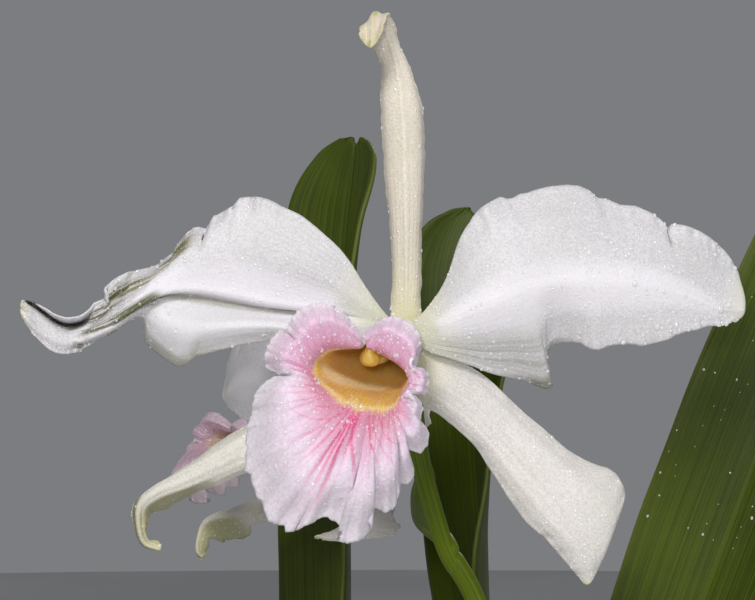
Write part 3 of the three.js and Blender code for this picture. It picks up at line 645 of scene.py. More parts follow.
# Lines of (along, across) points that both the shape and the colour follow: a painted highlight along the
# ridge, painted shade along the tip's groove
PETAL_RIDGE = [(0.08, 0.1), (0.25, 0.14), (0.42, 0.22), (0.58, 0.27), (0.75, 0.22), (0.93, 0.4)]
LEFT_TIP_GROOVE = [(0.78, 0.56), (0.81, 0.55), (0.85, 0.66), (0.89, 0.76), (0.93, 0.85), (0.97, 0.9)]
# Each vein of the lip: across at the mouth, across further out, width, how far it runs, strength
LIP_VEINS = [
    (0.066, 0.042, 0.007, 1.0, 1.0), (0.085, 0.078, 0.006, 0.9, 0.95), (0.108, 0.112, 0.005, 0.88, 0.8),
    (0.052, -0.035, 0.005, 0.92, 0.8), (0.035, 0.004, 0.004, 0.84, 0.7), (0.135, 0.16, 0.004, 0.86, 0.65),
    (-0.03, -0.16, 0.005, 0.86, 0.75), (-0.065, -0.22, 0.004, 0.84, 0.55), (-0.12, -0.29, 0.004, 0.8, 0.6),
    (0.174, 0.22, 0.004, 0.84, 0.55), (0.15, 0.33, 0.004, 0.82, 0.45), (0.22, 0.42, 0.004, 0.78, 0.4),
]
PAINTS = {
    "petal": tissue("petal_white", srgb(221, 217, 222), srgb(184, 184, 182), srgb(222, 223, 190),
                    srgb(218, 216, 202), 34, 0.92, 0.00005, right_petal_marks),
    "left_petal": tissue("left_petal_white", srgb(221, 217, 222), srgb(184, 184, 182), srgb(222, 223, 190),
                         srgb(212, 210, 186), 34, 0.94, 0.00005, left_petal_marks),
    "dorsal": tissue("dorsal_sepal_cream", srgb(232, 222, 208), srgb(198, 192, 172), srgb(228, 224, 176),
                     srgb(196, 186, 148), 14, 0.84, 0.0001, dorsal_marks),
    "sepal": tissue("lateral_sepal_white", srgb(222, 217, 213), srgb(190, 187, 180), srgb(226, 222, 178),
                    srgb(208, 204, 164), 22, 0.95),
    "left_sepal": tissue("left_sepal_white", srgb(221, 216, 208), srgb(190, 187, 172), srgb(226, 222, 178),
                         srgb(206, 200, 140), 18, 0.93, 0.00008, left_sepal_marks),
    "lip": lip_paint("lip_pink"),
    "back_lip": lip_paint("back_lip_pink", 0.7),
    "outside": tissue("lip_outside", srgb(240, 226, 236), srgb(214, 196, 208), srgb(232, 226, 196),
                      srgb(238, 220, 234), 30),
    "column": waxy("column_yellow", srgb(236, 214, 130), srgb(246, 232, 176)),
    "cap": waxy("anther_cap_yellow", srgb(238, 200, 88), srgb(246, 218, 124)),
    "leaf": green("leaf_green", srgb(48, 60, 9), srgb(76, 90, 18), 90.0, 0.45, srgb(104, 112, 40)),
    "stem": green("stem_green", srgb(74, 92, 2), srgb(108, 128, 10), 26.0, 0.45),
    "bulb": green("bulb_green", srgb(92, 100, 40), srgb(134, 138, 66), 40.0, 0.5),
    "shoot": green("shoot_green", srgb(96, 116, 36), srgb(142, 156, 66), 30.0, 0.45),
    "sheath": fibrous("dry_sheath", srgb(206, 190, 152), srgb(164, 142, 102), 60.0),
    "spathe": fibrous("spathe_straw", srgb(178, 170, 110), srgb(140, 130, 76), 50.0),
    "root": root_paint("root_silver"),
    "chips": bark_paint("bark_chips_brown", 0.6),
    "bed": bark_paint("bark_bed_dark", 0.9),
    "pot": terracotta("terracotta"),
    "water": water_with_painted_sparkle("dew"),
}


# The front flower's stations: left edge, midrib and right edge as [right, up, behind], and two swells
DORSAL_SEPAL = [
    [[-2.2, 1.6, 4.5], [0, 1.2, 4.3], [2.2, 1.6, 4.5], [0, 0]],
    [[-3.2, 9, 5], [0.2, 9, 2.6], [3.7, 9, 5], [0.8, 0.8]],
    [[-3.6, 25, 5.6], [0.2, 25, 1.2], [4, 25, 5.6], [1.2, 1.2]],
    [[-4.6, 37, 6.4], [0, 37, 1], [4.5, 37, 6.4], [1.6, 1.6]],
    [[-5.2, 48, 6.6], [-0.2, 48, 1], [4.7, 48, 6.6], [1.7, 1.7]],
    [[-5.9, 58, 6], [-0.9, 58, 1], [4, 58, 6], [1.6, 1.6]],
    [[-5.9, 66, 4.4], [-2.2, 66.5, 0.6], [1.8, 66, 4.4], [1.1, 1.1]],
    [[-7.4, 71.4, 1.4], [-4, 72.6, -1.2], [-1.2, 71.6, 1.8], [0.6, 0.6]],
    [[-10.2, 73.6, -2.6], [-6, 77, -3.4], [-2.6, 76.2, -1.4], [0.5, 0.5]],
    [[-11.4, 75.4, -6], [-7.8, 79.2, -7.6], [-4.2, 79, -6.2], [0.5, 0.5]],
    [[-11.2, 73.2, -8.6], [-8.4, 72.8, -11.2], [-5.8, 74.8, -10.2], [0.3, 0.3]],
]
RIGHT_PETAL = [
    [[2, 2.2, 2.9], [1.8, 0.3, 2.9], [2.3, -1.6, 2.9], [0, 0]],
    [[7.2, 7.7, 1.6], [8.7, 2, -0.6], [11.2, -5.9, 1.6], [0.6, 0.6]],
    [[10.5, 13.7, 2], [14.2, 5.7, -2], [20, -10.2, 2.6], [0.8, 1.4]],
    [[13.2, 21.7, 3], [21.2, 9.7, -3.2], [28.7, -12.4, 5], [1, 2.2]],
    [[17.5, 29, 4], [28.7, 13.7, -3.6], [36.2, -14, 8], [1, 2.4]],
    [[25.5, 33.2, 5], [36.2, 15.7, -3.6], [37.7, -3.6, 5], [1, 1.8]],
    [[36.2, 35.8, 5], [45, 17, -3.4], [46.2, -4.8, 2], [1, 1.4]],
    [[47.5, 33.2, 5], [53.7, 16.5, -2.4], [56.2, -3.5, 1], [1, 1]],
    [[60, 30, 4], [62.5, 14.5, -1], [65.5, -2.5, 1], [0.8, 0.6]],
    [[71.2, 25.7, 4], [71.2, 11.5, 1], [73.7, 0.5, 2], [0.6, 0.4]],
    [[79.2, 19.6, 6], [77.6, 8.2, 3], [79.2, 1.6, 4], [0.4, 0.2]],
    [[83.2, 10.8, 7], [82, 6.4, 5], [82.6, 3, 6], [0, 0]],
]
LEFT_PETAL = [
    [[-2.9, -1.6, 2.9], [-2.4, 0.4, 2.9], [-2.6, 2.4, 2.9], [0, 0]],
    [[-11.2, -3, 1.6], [-10, 3, 0.6], [-8.8, 9.2, 0.4], [0.4, 0.8]],
    [[-20, -3.2, 3.4], [-18.8, 4.6, 1.6], [-14.5, 18, -0.6], [1, 1.4]],
    [[-28.8, -3.6, 3.6], [-27.5, 5.2, 2.6], [-20.8, 24.5, -0.6], [1.6, 2]],
    [[-37.5, -3.6, 3.4], [-35.8, 6.2, 3.2], [-28.8, 30, 0.6], [2, 2.4]],
    [[-46.2, -5.6, 4], [-43.2, 7.6, 3.6], [-37.5, 33, 2.6], [2.4, 2.6]],
    [[-56.2, -8.6, 6], [-52.5, 9.2, 3.6], [-47.4, 27.4, 3.6], [2.4, 2.4]],
    [[-64.6, -3.4, 7], [-60, 9, 2.6], [-56.2, 21.8, 4], [1.6, 1.8]],
    [[-67.2, 2, 5], [-66.2, 6.2, 1.4], [-63.8, 15.6, 3.6], [0.6, 1]],
    [[-73.4, -1.8, 3], [-73.2, 1.6, 0], [-73.2, 11, 1.4], [0.4, 0.6]],
    [[-80, -5.4, 0], [-80, -0.8, -1.4], [-79.2, 5, -1.4], [0.4, 0.4]],
    [[-87, -6, -3], [-86.4, -1.6, -3.6], [-87.4, 4, -6], [-0.6, -0.6]],
    [[-92.8, -1.4, -5], [-92, 1.4, -5], [-93.2, 6.2, -8], [-0.5, -0.5]],
    [[-95.8, 3.4, -7], [-95.2, 4.6, -7], [-95.9, 6.4, -8.6], [0, 0]],
]
RIGHT_SEPAL = [
    [[3.4, -0.2, 4.4], [1.7, -1.9, 4.2], [0.2, -3.6, 4.4], [0, 0]],
    [[7.4, -6.4, 5.6], [6.2, -12, 3.6], [3.5, -17, 5.6], [0.6, 0.6]],
    [[15.2, -9.4, 7.4], [11.8, -16, 4], [8.8, -21.2, 6.6], [1, 1]],
    [[21.2, -12.8, 8.6], [17.5, -20, 4.6], [13.2, -25, 7], [1.2, 1.2]],
    [[27.5, -18.5, 8.4], [23.2, -26, 4.4], [18, -29.8, 7], [1.2, 1.2]],
    [[34, -24.2, 7.6], [28.8, -32, 3.4], [21.8, -35.5, 6.4], [1.4, 1.4]],
    [[40.7, -30, 6.4], [34.5, -38.2, 2.2], [26.2, -42.5, 5.4], [1.6, 1.6]],
    [[47.7, -33.8, 5.4], [40.2, -45, 1], [30.7, -48.5, 4.4], [1.8, 1.6]],
    [[53.2, -37, 4.6], [44.7, -50.7, 0.6], [35, -52.5, 3.6], [1.8, 1.4]],
    [[54.8, -42, 4], [46.7, -55.5, 1], [38.7, -56.5, 3.4], [1.4, 1]],
    [[51.7, -51.2, 3.6], [46.7, -59.5, 2], [42, -60.2, 3.4], [0.8, 0.6]],
    [[47.7, -60.4, 4], [46.2, -62.2, 3.4], [44.4, -63, 4], [0, 0]],
]
LEFT_SEPAL = [
    [[-0.2, -3.6, 4.4], [-1.7, -1.9, 4.2], [-3.4, -0.2, 4.4], [0, 0]],
    [[-4.6, -11, 5.6], [-8, -7, 4.2], [-9.6, -2.6, 5.6], [0.6, 0.6]],
    [[-14, -20, 7], [-18, -14.5, 4.6], [-20.6, -8, 7], [1, 1]],
    [[-26, -28.6, 7.4], [-29, -22.4, 4.4], [-32, -16, 7.4], [1.2, 1.2]],
    [[-36.8, -35.2, 7], [-39.4, -29.8, 3.4], [-41.6, -24, 7], [1.2, 1.2]],
    [[-46, -38.2, 5.4], [-47.6, -34, 1.6], [-49, -29.6, 5.4], [1, 1]],
    [[-53.8, -40.8, 2.6], [-55.6, -37.8, -0.6], [-57, -34.8, 3], [0.8, 0.8]],
    [[-60, -43, 0.6], [-62, -40.4, -2], [-63, -38.6, 1], [0.6, 0.6]],
    [[-64, -45.4, 0.4], [-66, -43.8, -2], [-67.4, -43, 0.4], [0.5, 0.5]],
    [[-64.6, -49.6, 1.6], [-66.4, -49, -0.6], [-67.8, -48.2, 1.4], [0.4, 0.4]],
    [[-63.8, -52.4, 3], [-65, -53.2, 1.4], [-66.4, -53.2, 3], [0.3, 0.3]],
    [[-61.6, -52.8, 4], [-61.8, -54.6, 3], [-62.4, -55.4, 4.2], [0, 0]],
]

# The margins in the picture's pixels, from base to tip, and for one how far along they are followed
DORSAL_MARGINS = (
    [(391, 317), (393, 269), (391, 230), (387, 195), (384, 160), (382, 128), (381, 98), (382, 65),
     (377, 54), (371, 46)],
    [(421, 314), (420, 293), (421, 228), (423, 184), (424, 139), (421, 104), (413, 80), (400, 50), (397, 40)],
    0.7,
)
RIGHT_PETAL_MARGINS = (
    [(421, 315), (434, 299), (445, 281), (454, 256), (461, 236), (470, 222), (481, 208), (490, 202),
     (500, 197), (507, 199), (513, 198), (520, 194), (527, 193), (543, 188), (556, 186), (567, 185),
     (578, 186), (588, 190), (597, 198), (606, 199), (620, 205), (635, 206), (649, 212), (660, 219),
     (665, 225), (664, 231), (672, 224), (683, 225), (692, 228), (701, 232), (710, 238), (717, 244),
     (728, 255), (733, 263), (737, 272), (740, 288)],
    [(434, 354), (452, 359), (475, 367), (497, 375), (518, 379), (538, 386), (552, 386), (545, 378),
     (548, 369), (546, 358), (549, 351), (558, 343), (567, 342), (581, 343), (590, 349), (599, 350),
     (606, 347), (613, 345), (629, 344), (642, 346), (655, 343), (667, 340), (676, 335), (685, 332),
     (697, 330), (708, 326), (721, 326), (735, 320)],
)
LEFT_PETAL_MARGINS = (
    [(360, 342), (325, 343), (290, 342), (270, 340), (260, 342), (232, 347), (213, 352), (196, 356),
     (186, 364), (177, 366), (168, 361), (159, 354), (149, 346), (144, 332), (143, 319), (133, 318),
     (120, 327), (106, 336), (100, 335), (93, 341), (86, 346), (80, 351), (66, 354), (48, 349), (33, 334),
     (26, 324), (22, 314)],
    [(385, 314), (369, 292), (354, 268), (340, 249), (325, 235), (302, 216), (281, 206), (263, 198),
     (251, 197), (240, 198), (233, 206), (226, 210), (219, 214), (214, 216), (211, 221), (206, 229),
     (199, 227), (193, 228), (188, 232), (180, 242), (177, 246), (175, 251), (157, 265), (147, 268),
     (138, 270), (128, 272), (119, 276), (105, 288), (109, 296), (94, 303), (80, 316), (66, 318), (46, 309),
     (26, 301)],
)
RIGHT_SEPAL_MARGINS = (
    [(421, 343), (432, 354), (445, 357), (466, 365), (490, 381), (509, 399), (526, 415), (541, 427),
     (559, 443), (572, 453), (586, 461), (596, 465), (607, 468), (616, 474), (622, 484), (625, 496),
     (622, 506), (617, 519), (609, 542), (601, 556), (594, 573)],
    [(417, 396), (425, 406), (440, 415), (456, 428), (475, 446), (486, 463), (499, 483), (514, 506),
     (526, 522), (543, 536), (556, 551), (577, 575), (583, 581)],
)
LEFT_SEPAL_MARGINS = (
    [(300, 444), (260, 466), (244, 473), (234, 477), (218, 485), (199, 490), (182, 499), (166, 509),
     (150, 514), (147, 522), (144, 533), (147, 539), (156, 541)],
    [(290, 402), (247, 425), (231, 434), (212, 447), (196, 460), (180, 470), (163, 482), (142, 498),
     (134, 505), (133, 516), (135, 527), (139, 538), (145, 546), (155, 548)],
)


# Each relief moves a grid of (right, up, behind) points: behind grows away from the eye

def dorsal_relief(p, a, c):
    behind = p[..., 2]
    behind += 0.5 * np.abs(c) ** 3 * window(a, 0.15, 0.8, 0.08)
    behind -= 0.35 * bump(c, 0.0, 0.1) * window(a, 0.1, 0.85, 0.08)
    behind -= 2.2 * smooth(0.84, 0.97, a) * np.abs(c) ** 2
    p[..., 0] += 0.15 * waves(a, [9, 17, 29], 3) * np.abs(c) ** 4


# Short creases in the right petal's upper margin: along, width, depth
MARGIN_CREASES = [
    (0.375, 0.01, 0.8), (0.4, 0.009, -0.4), (0.43, 0.01, 0.7), (0.66, 0.01, 0.8), (0.715, 0.009, 1.0),
]


def right_petal_relief(p, a, c):
    behind = p[..., 2]
    line = np.interp(a, *zip(*PETAL_RIDGE))
    behind -= 0.5 * bump(c, line, 0.15) * window(a, 0.08, 0.95, 0.06)
    behind += 0.12 * bump(c, line - 0.12, 0.06) * window(a, 0.2, 0.9, 0.1)
    upper, lower = smooth(0.45, 1.0, -c), smooth(0.35, 1.0, c)
    for middle, width, depth in MARGIN_CREASES:
        behind += depth * bump(a + 0.06 * (c + 1), middle, width) * smooth(0.62, 1.0, -c)
    behind += 0.4 * waves(a, [15, 26, 41], 5) * upper ** 3 * window(a, 0.72, 0.97, 0.05)
    behind += 0.2 * waves(a, [11, 19], 6) * upper ** 3 * window(a, 0.2, 0.6, 0.06)
    behind += 0.25 * waves(a, [24, 39], 8) * lower ** 3 * window(a, 0.45, 0.97, 0.04)
    folds = np.sin(c * 30 + 5 * a) * window(c, 0.4, 0.95, 0.12) * window(a, 0.1, 0.4, 0.07)
    behind += 0.07 * folds
    behind += 2.6 * smooth(0.9, 1.0, c) * window(a, 0.28, 0.46, 0.07)
    behind += 0.5 * waves(a, [47, 71], 7) * smooth(0.9, 1.0, c) * window(a, 0.36, 0.46, 0.02)
    behind += 3.4 * window(a, 0.14, 0.42, 0.13) * smooth(0.15, 1.0, c)


def left_petal_relief(p, a, c):
    behind = p[..., 2]
    crease = window(a, 0.14, 0.7, 0.07)
    over, under = np.clip(c, 0, 1), np.clip(-c, 0, 1)
    above = smooth(0.0, 0.07, c)
    behind -= 2.6 * crease * above * np.exp(-over / 0.22)
    p[..., 1] -= 1.0 * crease * above * np.exp(-over / 0.1)
    below = smooth(0.0, 0.05, -c)
    behind += 2.2 * crease * below * np.exp(-under / 0.12)
    p[..., 1] += 0.9 * crease * below * np.exp(-under / 0.06)
    lobe = window(a, 0.1, 0.56, 0.05)
    behind -= 1.6 * lobe * bump(c, -0.55, 0.28)
    # the lower lobe's margin turns under along a line
    fold_line = np.interp(a, [0.38, 0.43, 0.465, 0.5, 0.56, 0.6], [-1.1, -0.98, -0.85, -0.81, -0.74, -0.72])
    behind += 40 * np.clip(fold_line - c, 0, 1) ** 1.5 * window(a, 0.4, 0.6, 0.04)
    behind += 0.06 * np.sin(c * 40 + 6 * a) * window(c, -0.7, -0.12, 0.1) * window(a, 0.08, 0.4, 0.06)
    neck = window(a, 0.6, 0.78, 0.04)
    # soft folds run along the neck, and its lower margin is crinkled
    behind += neck * (0.75 * np.sin(c * 9 + 9 * a) + 0.07 * waves(a + 0.03 * c, [23, 37], 9))
    behind += 0.5 * waves(a, [31, 47, 68], 11) * smooth(-0.4, -0.9, c) * window(a, 0.62, 0.8, 0.03)
    behind += 1.8 * window(a, 0.44, 0.62, 0.03) * smooth(0.8, 1.0, c)
    behind += 0.8 * waves(a, [21, 36, 58], 10) * smooth(0.75, 1.0, c) ** 2 * window(a, 0.34, 0.72, 0.05)
    behind += 1.1 * bump(a - 0.05 * (1 - c), 0.47, 0.008) * smooth(0.55, 0.95, c)
    # a flap of the upper margin folds forward, and the tip is a scoop under its upper rim
    behind -= 2.6 * window(a, 0.655, 0.725, 0.012) * smooth(0.55, 0.8, c)
    groove = np.interp(a, *zip(*LEFT_TIP_GROOVE))
    scoop = window(a, 0.765, 0.975, 0.02)
    width = np.interp(a, [0.77, 0.82, 0.97], [0.2, 0.3, 0.12])
    behind += 8 * scoop * np.exp(-(((c - groove) / width) ** 2))
    behind -= 1.4 * scoop * smooth(0.8, 1.0, c)
    behind -= 1.4 * scoop * bump(c, -0.4, 0.4)


def left_sepal_relief(p, a, c):
    behind = p[..., 2]
    sepal_relief(p, a, c)
    behind += 0.3 * bump(c, 0.0, 0.12) * window(a, 0.1, 0.9, 0.08)
    behind += 14 * np.clip(-0.4 - c, 0, 1) * window(a, 0.5, 0.74, 0.04)
    curl = smooth(0.72, 0.8, a) * (1 - smooth(0.88, 1.0, a))
    behind += 2.6 * np.abs(c) ** 2 * curl
    behind += 1.6 * bump(c, -0.2, 0.16) * curl


def sepal_relief(p, a, c):
    behind = p[..., 2]
    behind -= 0.35 * bump(c, 0.0, 0.12) * window(a, 0.1, 0.9, 0.08)
    behind += 0.45 * waves(a, [5, 9, 14], 12) * np.abs(c) ** 4 * window(a, 0.15, 0.97, 0.05)
    behind += 0.05 * np.sin(c * 24) * window(a, 0.08, 0.75, 0.1)


LEAVES_OF_FLOWER = {
    "dorsal_sepal": (DORSAL_SEPAL, DORSAL_MARGINS, dorsal_relief, "dorsal", "sepal"),
    "right_petal": (RIGHT_PETAL, RIGHT_PETAL_MARGINS, right_petal_relief, "petal", "petal"),
    "left_petal": (LEFT_PETAL, LEFT_PETAL_MARGINS, left_petal_relief, "left_petal", "petal"),
    "right_lateral_sepal": (RIGHT_SEPAL, RIGHT_SEPAL_MARGINS, sepal_relief, "sepal", "sepal"),
    "left_lateral_sepal": (LEFT_SEPAL, LEFT_SEPAL_MARGINS, left_sepal_relief, "left_sepal", "sepal"),
}


def floral_grid(rows, margins, relief, along, across, mirrored=False):
    left, middle, right, swells = (np.array([row[k] for row in rows], float) for k in range(4))
    grid = ribbon(seen(left), seen(middle), seen(right), swells, along, across)
    p = shaped(grid, along, across, *margins) if margins else picture(grid)
    relief(p, *crossed(along, across))
    if mirrored:
        p[..., 0] *= -1
    return seen(p)


# The lip: ribs from the funnel's mouth to the rim, clockwise from the top
LIP_RIBS = [
    [[-9.2, -4.2], [-10, -1.6, -41]], [[-7, -5.2], [-5, 3, -42]], [[-4.8, -6.4], [-0.4, 2.8, -43]],
    [[-2.4, -7.8], [3.7, -1.4, -44]], [[-0.4, -9.4], [4, -5, -44]], [[0.8, -10.8], [3, -9, -45]],
    [[1, -12.4], [5.8, -12, -44]], [[0.6, -13.8], [5.2, -15.6, -44]], [[-0.4, -15.2], [2.4, -16.4, -46]],
    [[-1, -16.6], [3.9, -20.5, -46]], [[-1.8, -17.8], [5.4, -27.5, -45]], [[-2.8, -19], [1.4, -38, -46]],
    [[-4, -19.6], [-3.6, -45, -48]], [[-5.6, -19.8], [-10, -46, -50]], [[-7.4, -19.8], [-13.4, -52.4, -50]],
    [[-9.2, -19.5], [-20.6, -47.6, -51]], [[-11, -19.2], [-28, -50, -50]],
    [[-12.6, -18.8], [-34, -46.6, -48]], [[-14.6, -18], [-38, -38.4, -45]],
    [[-16.8, -16.8], [-39.6, -28.8, -42]], [[-18.8, -15.2], [-38.2, -20.4, -41]],
    [[-20.8, -13.6], [-35.6, -14, -41]], [[-22, -12], [-30.2, -9.8, -43]],
    [[-22.8, -10.6], [-34.2, -9.6, -41]],
    [[-22.8, -9.2], [-34.7, -5, -41]], [[-22.2, -7.8], [-31.2, -0.2, -42]], [[-21, -6.4], [-28.2, 3, -42]],
    [[-19.2, -5.2], [-23.2, 6.6, -43]], [[-16.8, -4.6], [-18, 6.2, -43]], [[-13.8, -4.4], [-13.8, 2.8, -42]],
    [[-10.6, -4.2], [-11, -1.8, -41]],
]
LIP_MOUTH = {"top": -37, "bottom": -45, "lowest": -19.8, "highest": -4.2}
LIP_FOOT = {"centre": (-0.8, -1.6, -2.6), "radius": 4.3}
TUBE_BELLY = (0.8, 1.4, 0)
# The flare's swell, full on ribs longer than this, and the middle that the rim's small teeth point away from
LIP_SWELL, FULL_SWELL_AT = 5, 30
LIP_CENTRE = (-11.0, -12.0)
LIP_RIM = [
    (362, 337), (368, 330), (374, 325), (381, 320), (388, 317), (396, 316), (402, 319), (409, 323),
    (415, 328), (420, 335), (421, 343), (420, 351), (413, 354), (411, 361), (415, 367), (424, 369),
    (429, 376), (429, 384), (425, 394), (415, 395), (409, 391), (407, 393), (413, 396), (420, 402),
    (423, 410), (421, 418), (419, 423), (426, 429), (429, 437), (427, 446), (420, 453), (409, 450),
    (407, 456), (410, 463), (413, 471), (413, 479), (408, 484), (399, 484), (399, 492), (397, 500),
    (394, 508), (386, 512), (377, 509), (368, 507), (362, 510), (363, 517), (370, 524), (371, 530),
    (365, 536), (358, 541), (347, 543), (337, 540), (342, 533), (341, 527), (336, 522), (328, 518),
    (319, 518), (313, 523), (306, 525), (300, 528), (291, 532), (286, 531), (284, 526), (276, 524),
    (268, 521), (265, 512), (263, 505), (257, 496), (252, 484), (251, 475), (245, 471), (246, 460),
    (247, 448), (246, 438), (247, 428), (251, 416), (253, 401), (256, 392), (263, 384), (272, 378),
    (282, 376), (283, 370), (277, 372), (270, 371), (265, 366), (264, 358), (266, 351), (268, 344),
    (272, 339), (275, 334), (280, 330), (286, 332), (289, 325), (292, 318), (297, 311), (304, 307),
    (311, 304), (317, 303), (325, 303), (332, 305), (338, 309), (343, 312), (348, 318), (354, 325),
    (360, 335),
]
# Valleys that run out to the notches of the lip's rim: across, width, depth
LIP_FOLDS = [
    (0.665, 0.014, 1.6), (0.55, 0.02, 2.2), (-0.73, 0.02, 2.0), (-0.5, 0.02, 1.8), (-0.35, 0.025, 0.8),
    (-0.29, 0.02, 0.7), (-0.2, 0.024, 0.7), (-0.09, 0.022, 0.9), (0.02, 0.02, 0.8), (0.1, 0.02, 0.7),
    (0.2, 0.02, 1.0), (0.33, 0.03, 1.0),
]


# Five points along each rib: foot, tube, mouth, flare and rim
def lip_rails():
    mouth, rim = (np.array([rib[k] for rib in LIP_RIBS], float) for k in (0, 1))
    angle = math.pi * (0.5 - 2 * (np.arange(len(rim)) + 0.5) / len(rim))
    highest, lowest, top, bottom = (LIP_MOUTH[key] for key in ("highest", "lowest", "top", "bottom"))
    mouth = np.column_stack([mouth, top + (bottom - top) * ((highest - mouth[:, 1]) / (highest - lowest))])
    foot = LIP_FOOT["centre"] + polar(LIP_FOOT["radius"], angle)
    tube = (foot + mouth) / 2 + polar(1, angle) * TUBE_BELLY
    flare = (mouth + rim) / 2
    flare[:, 2] -= LIP_SWELL * np.minimum(1, np.linalg.norm(mouth - rim, axis=1) / FULL_SWELL_AT)
    return seen(np.stack([foot, tube, mouth, flare, rim], 1))


def lip_grid(along, across):
    around = catmull(lip_rails(), (across + 1) / 2)
    p = picture(catmull(around.transpose(1, 0, 2), along))
    shift = edge_shift(p[-1], traced(LIP_RIM))
    p[..., :2] += shift[None] * smooth(0.6, 1, along)[:, None, None]
    a, c = crossed(along, across)
    turn = (c + 1) / 2
    out = smooth(0.78, 1.0, a)
    side = np.maximum(window(turn, 0.0, 0.24, 0.03), window(turn, 0.74, 1.0, 0.03))
    calm = 1 - 0.65 * side
    behind = p[..., 2]
    behind += 0.9 * calm * out ** 2 * waves(turn, [23, 37, 52], 21)
    behind += 0.6 * calm * smooth(0.52, 0.7, a) * waves(turn, [9, 13, 17], 22)
    behind += 0.1 * np.sin(2 * math.pi * 46 * turn) * window(a, 0.45, 0.9, 0.05)
    behind += 0.22 * out * waves(turn, [71, 97], 23)
    for middle, width, depth in LIP_FOLDS:
        behind += depth * bump(c, middle, width * (0.6 + 0.8 * a)) * smooth(0.76, 1.0, a)
    toothed = 0.17 * waves(turn, [61, 83, 127], 24) + 0.1 * waves(turn, [171, 211], 25)
    p[..., :2] += unit(p[..., :2] - LIP_CENTRE) * (toothed * smooth(0.88, 1.0, a))[..., None]
    # the two side lobes stand up and lean back at their edge, the middle lobe's edge falls back
    behind += 3.0 * side * smooth(0.8, 1.0, a)
    behind += 3.2 * (1 - side) * smooth(0.82, 1.0, a)
    return seen(p)


def bent_forward(q, curvature):
    angle = q[..., 2] * curvature
    y = q[..., 1] * np.cos(angle) - (1 - np.cos(angle)) / curvature
    z = np.sin(angle) / curvature + q[..., 1] * np.sin(angle)
    return np.stack([q[..., 0], y, z], -1)


def swept_back(q, curvature):
    angle = np.abs(q[..., 0]) * curvature
    return np.stack([np.sign(q[..., 0]) * np.sin(angle) / curvature,
                     q[..., 1] + (1 - np.cos(angle)) / curvature, q[..., 2]], -1)


def turned(q, x_degrees, z_degrees):
    x, z = math.radians(x_degrees), math.radians(z_degrees)
    about_x = np.array([[1, 0, 0], [0, math.cos(x), -math.sin(x)], [0, math.sin(x), math.cos(x)]])
    about_z = np.array([[math.cos(z), -math.sin(z), 0], [math.sin(z), math.cos(z), 0], [0, 0, 1]])
    return q @ (about_z @ about_x).T


def front_place(q):
    return q + FRONT_FLOWER


def back_place(q):
    return BACK_FLOWER["place"] + turned(q * BACK_FLOWER["scale"], -BACK_FLOWER["lift"], BACK_FLOWER["turn"])


PETAL_THICKNESS = 0.75
PETAL_EDGE = 0.35
COLUMN_SIDES = 28
COLUMN_PARTS = (
    ("column", [[-0.7, -1.2, 1.9], [-1.9, -2.3, -8], [-5, -4.1, -18], [-8.2, -6.3, -28]],
     [2.9, 2.8, 3, 3.2, 2.8], "column"),
    ("anther_cap", [[-8.4, -6.5, -28.6], [-8.9, -6.9, -30.6], [-9.3, -7.3, -32.2]], [2.2, 2.4, 1.2], "cap"),
)
BACK_BENDS = {
    "dorsal_sepal": (bent_forward, 0.022), "left_petal": (swept_back, 0.0012),
    "right_petal": (swept_back, -0.008), "left_lateral_sepal": (bent_forward, 0.014),
    "right_lateral_sepal": (bent_forward, 0.03), "lip": (bent_forward, 0.0095),
    "column": (bent_forward, 0.0095), "anther_cap": (bent_forward, 0.0095),
}
DEW_GROUNDS = {}
# A sepal has this share of a petal's rows and columns
SEPAL_SHARE = 0.74
# Which of a sheet's two sides is the lip's outside: 0 or 1
LIP_OUTSIDE = 1
LIP_FINISH = {"front": "lip", "back": "back_lip"}


def make_column(prefix, placed, scale):
    steps = np.linspace(0, 1, COLUMN_SIDES)
    ends = round_end(np.abs(steps - 0.5), 0.42, 0.085, 0.02)
    three_sided = 1 + 0.07 * np.cos(3 * circle(COLUMN_SIDES))[None]
    for part, path, radii, paint in COLUMN_PARTS:
        radius = spread(radii, steps) * three_sided * scale * ends
        mesh = rod_mesh(f"{prefix}_{part}", placed(part, by_length(seen(path), steps)), radius, COLUMN_SIDES)
        add_piece(mesh, paint, "column", f"{prefix}_flower_{part}")


def make_flower(prefix, place, bends, scale, rows, columns):
    def placed(part, q):
        change, curvature = bends.get(part, (None, 0))
        return place(change(q, curvature) if change else q)

    def add_sheet(part, grid, paint, slot):
        DEW_GROUNDS[f"{prefix}_{part}"] = grid = placed(part, grid)
        mesh = sheet_mesh(f"{prefix}_{part}", grid, PETAL_THICKNESS, PETAL_EDGE)
        return add_piece(mesh, paint, slot, f"{prefix}_flower_{part}").data

    for part, (stations, margins, relief, paint, slot) in LEAVES_OF_FLOWER.items():
        fine = 1.0 if slot == "petal" else SEPAL_SHARE
        along, across = np.linspace(0, 1, int(rows * fine)), np.linspace(-1, 1, int(columns * fine))
        # the back flower's left petal is the right one on its other side
        mirrored = prefix == "back" and part == "left_petal"
        if prefix == "back" and part == "left_lateral_sepal":
            margins = None
        if mirrored:
            stations, margins, relief, paint, slot = LEAVES_OF_FLOWER["right_petal"]
        add_sheet(part, floral_grid(stations, margins, relief, along, across, mirrored), paint, slot)
    rows, columns = rows // 2, 5 * columns
    grid = lip_grid(np.linspace(0, 1, rows), np.linspace(-1, 1, columns))
    mesh = add_sheet("lip", grid, LIP_FINISH[prefix], "lip")
    mesh.materials.append(PAINTS["outside"])
    fronts = (rows - 1) * (columns - 1)
    sides = np.zeros(len(mesh.polygons), np.int32)
    sides[LIP_OUTSIDE * fronts:(LIP_OUTSIDE + 1) * fronts] = 1
    mesh.polygons.foreach_set("material_index", sides)
    make_column(prefix, placed, scale)


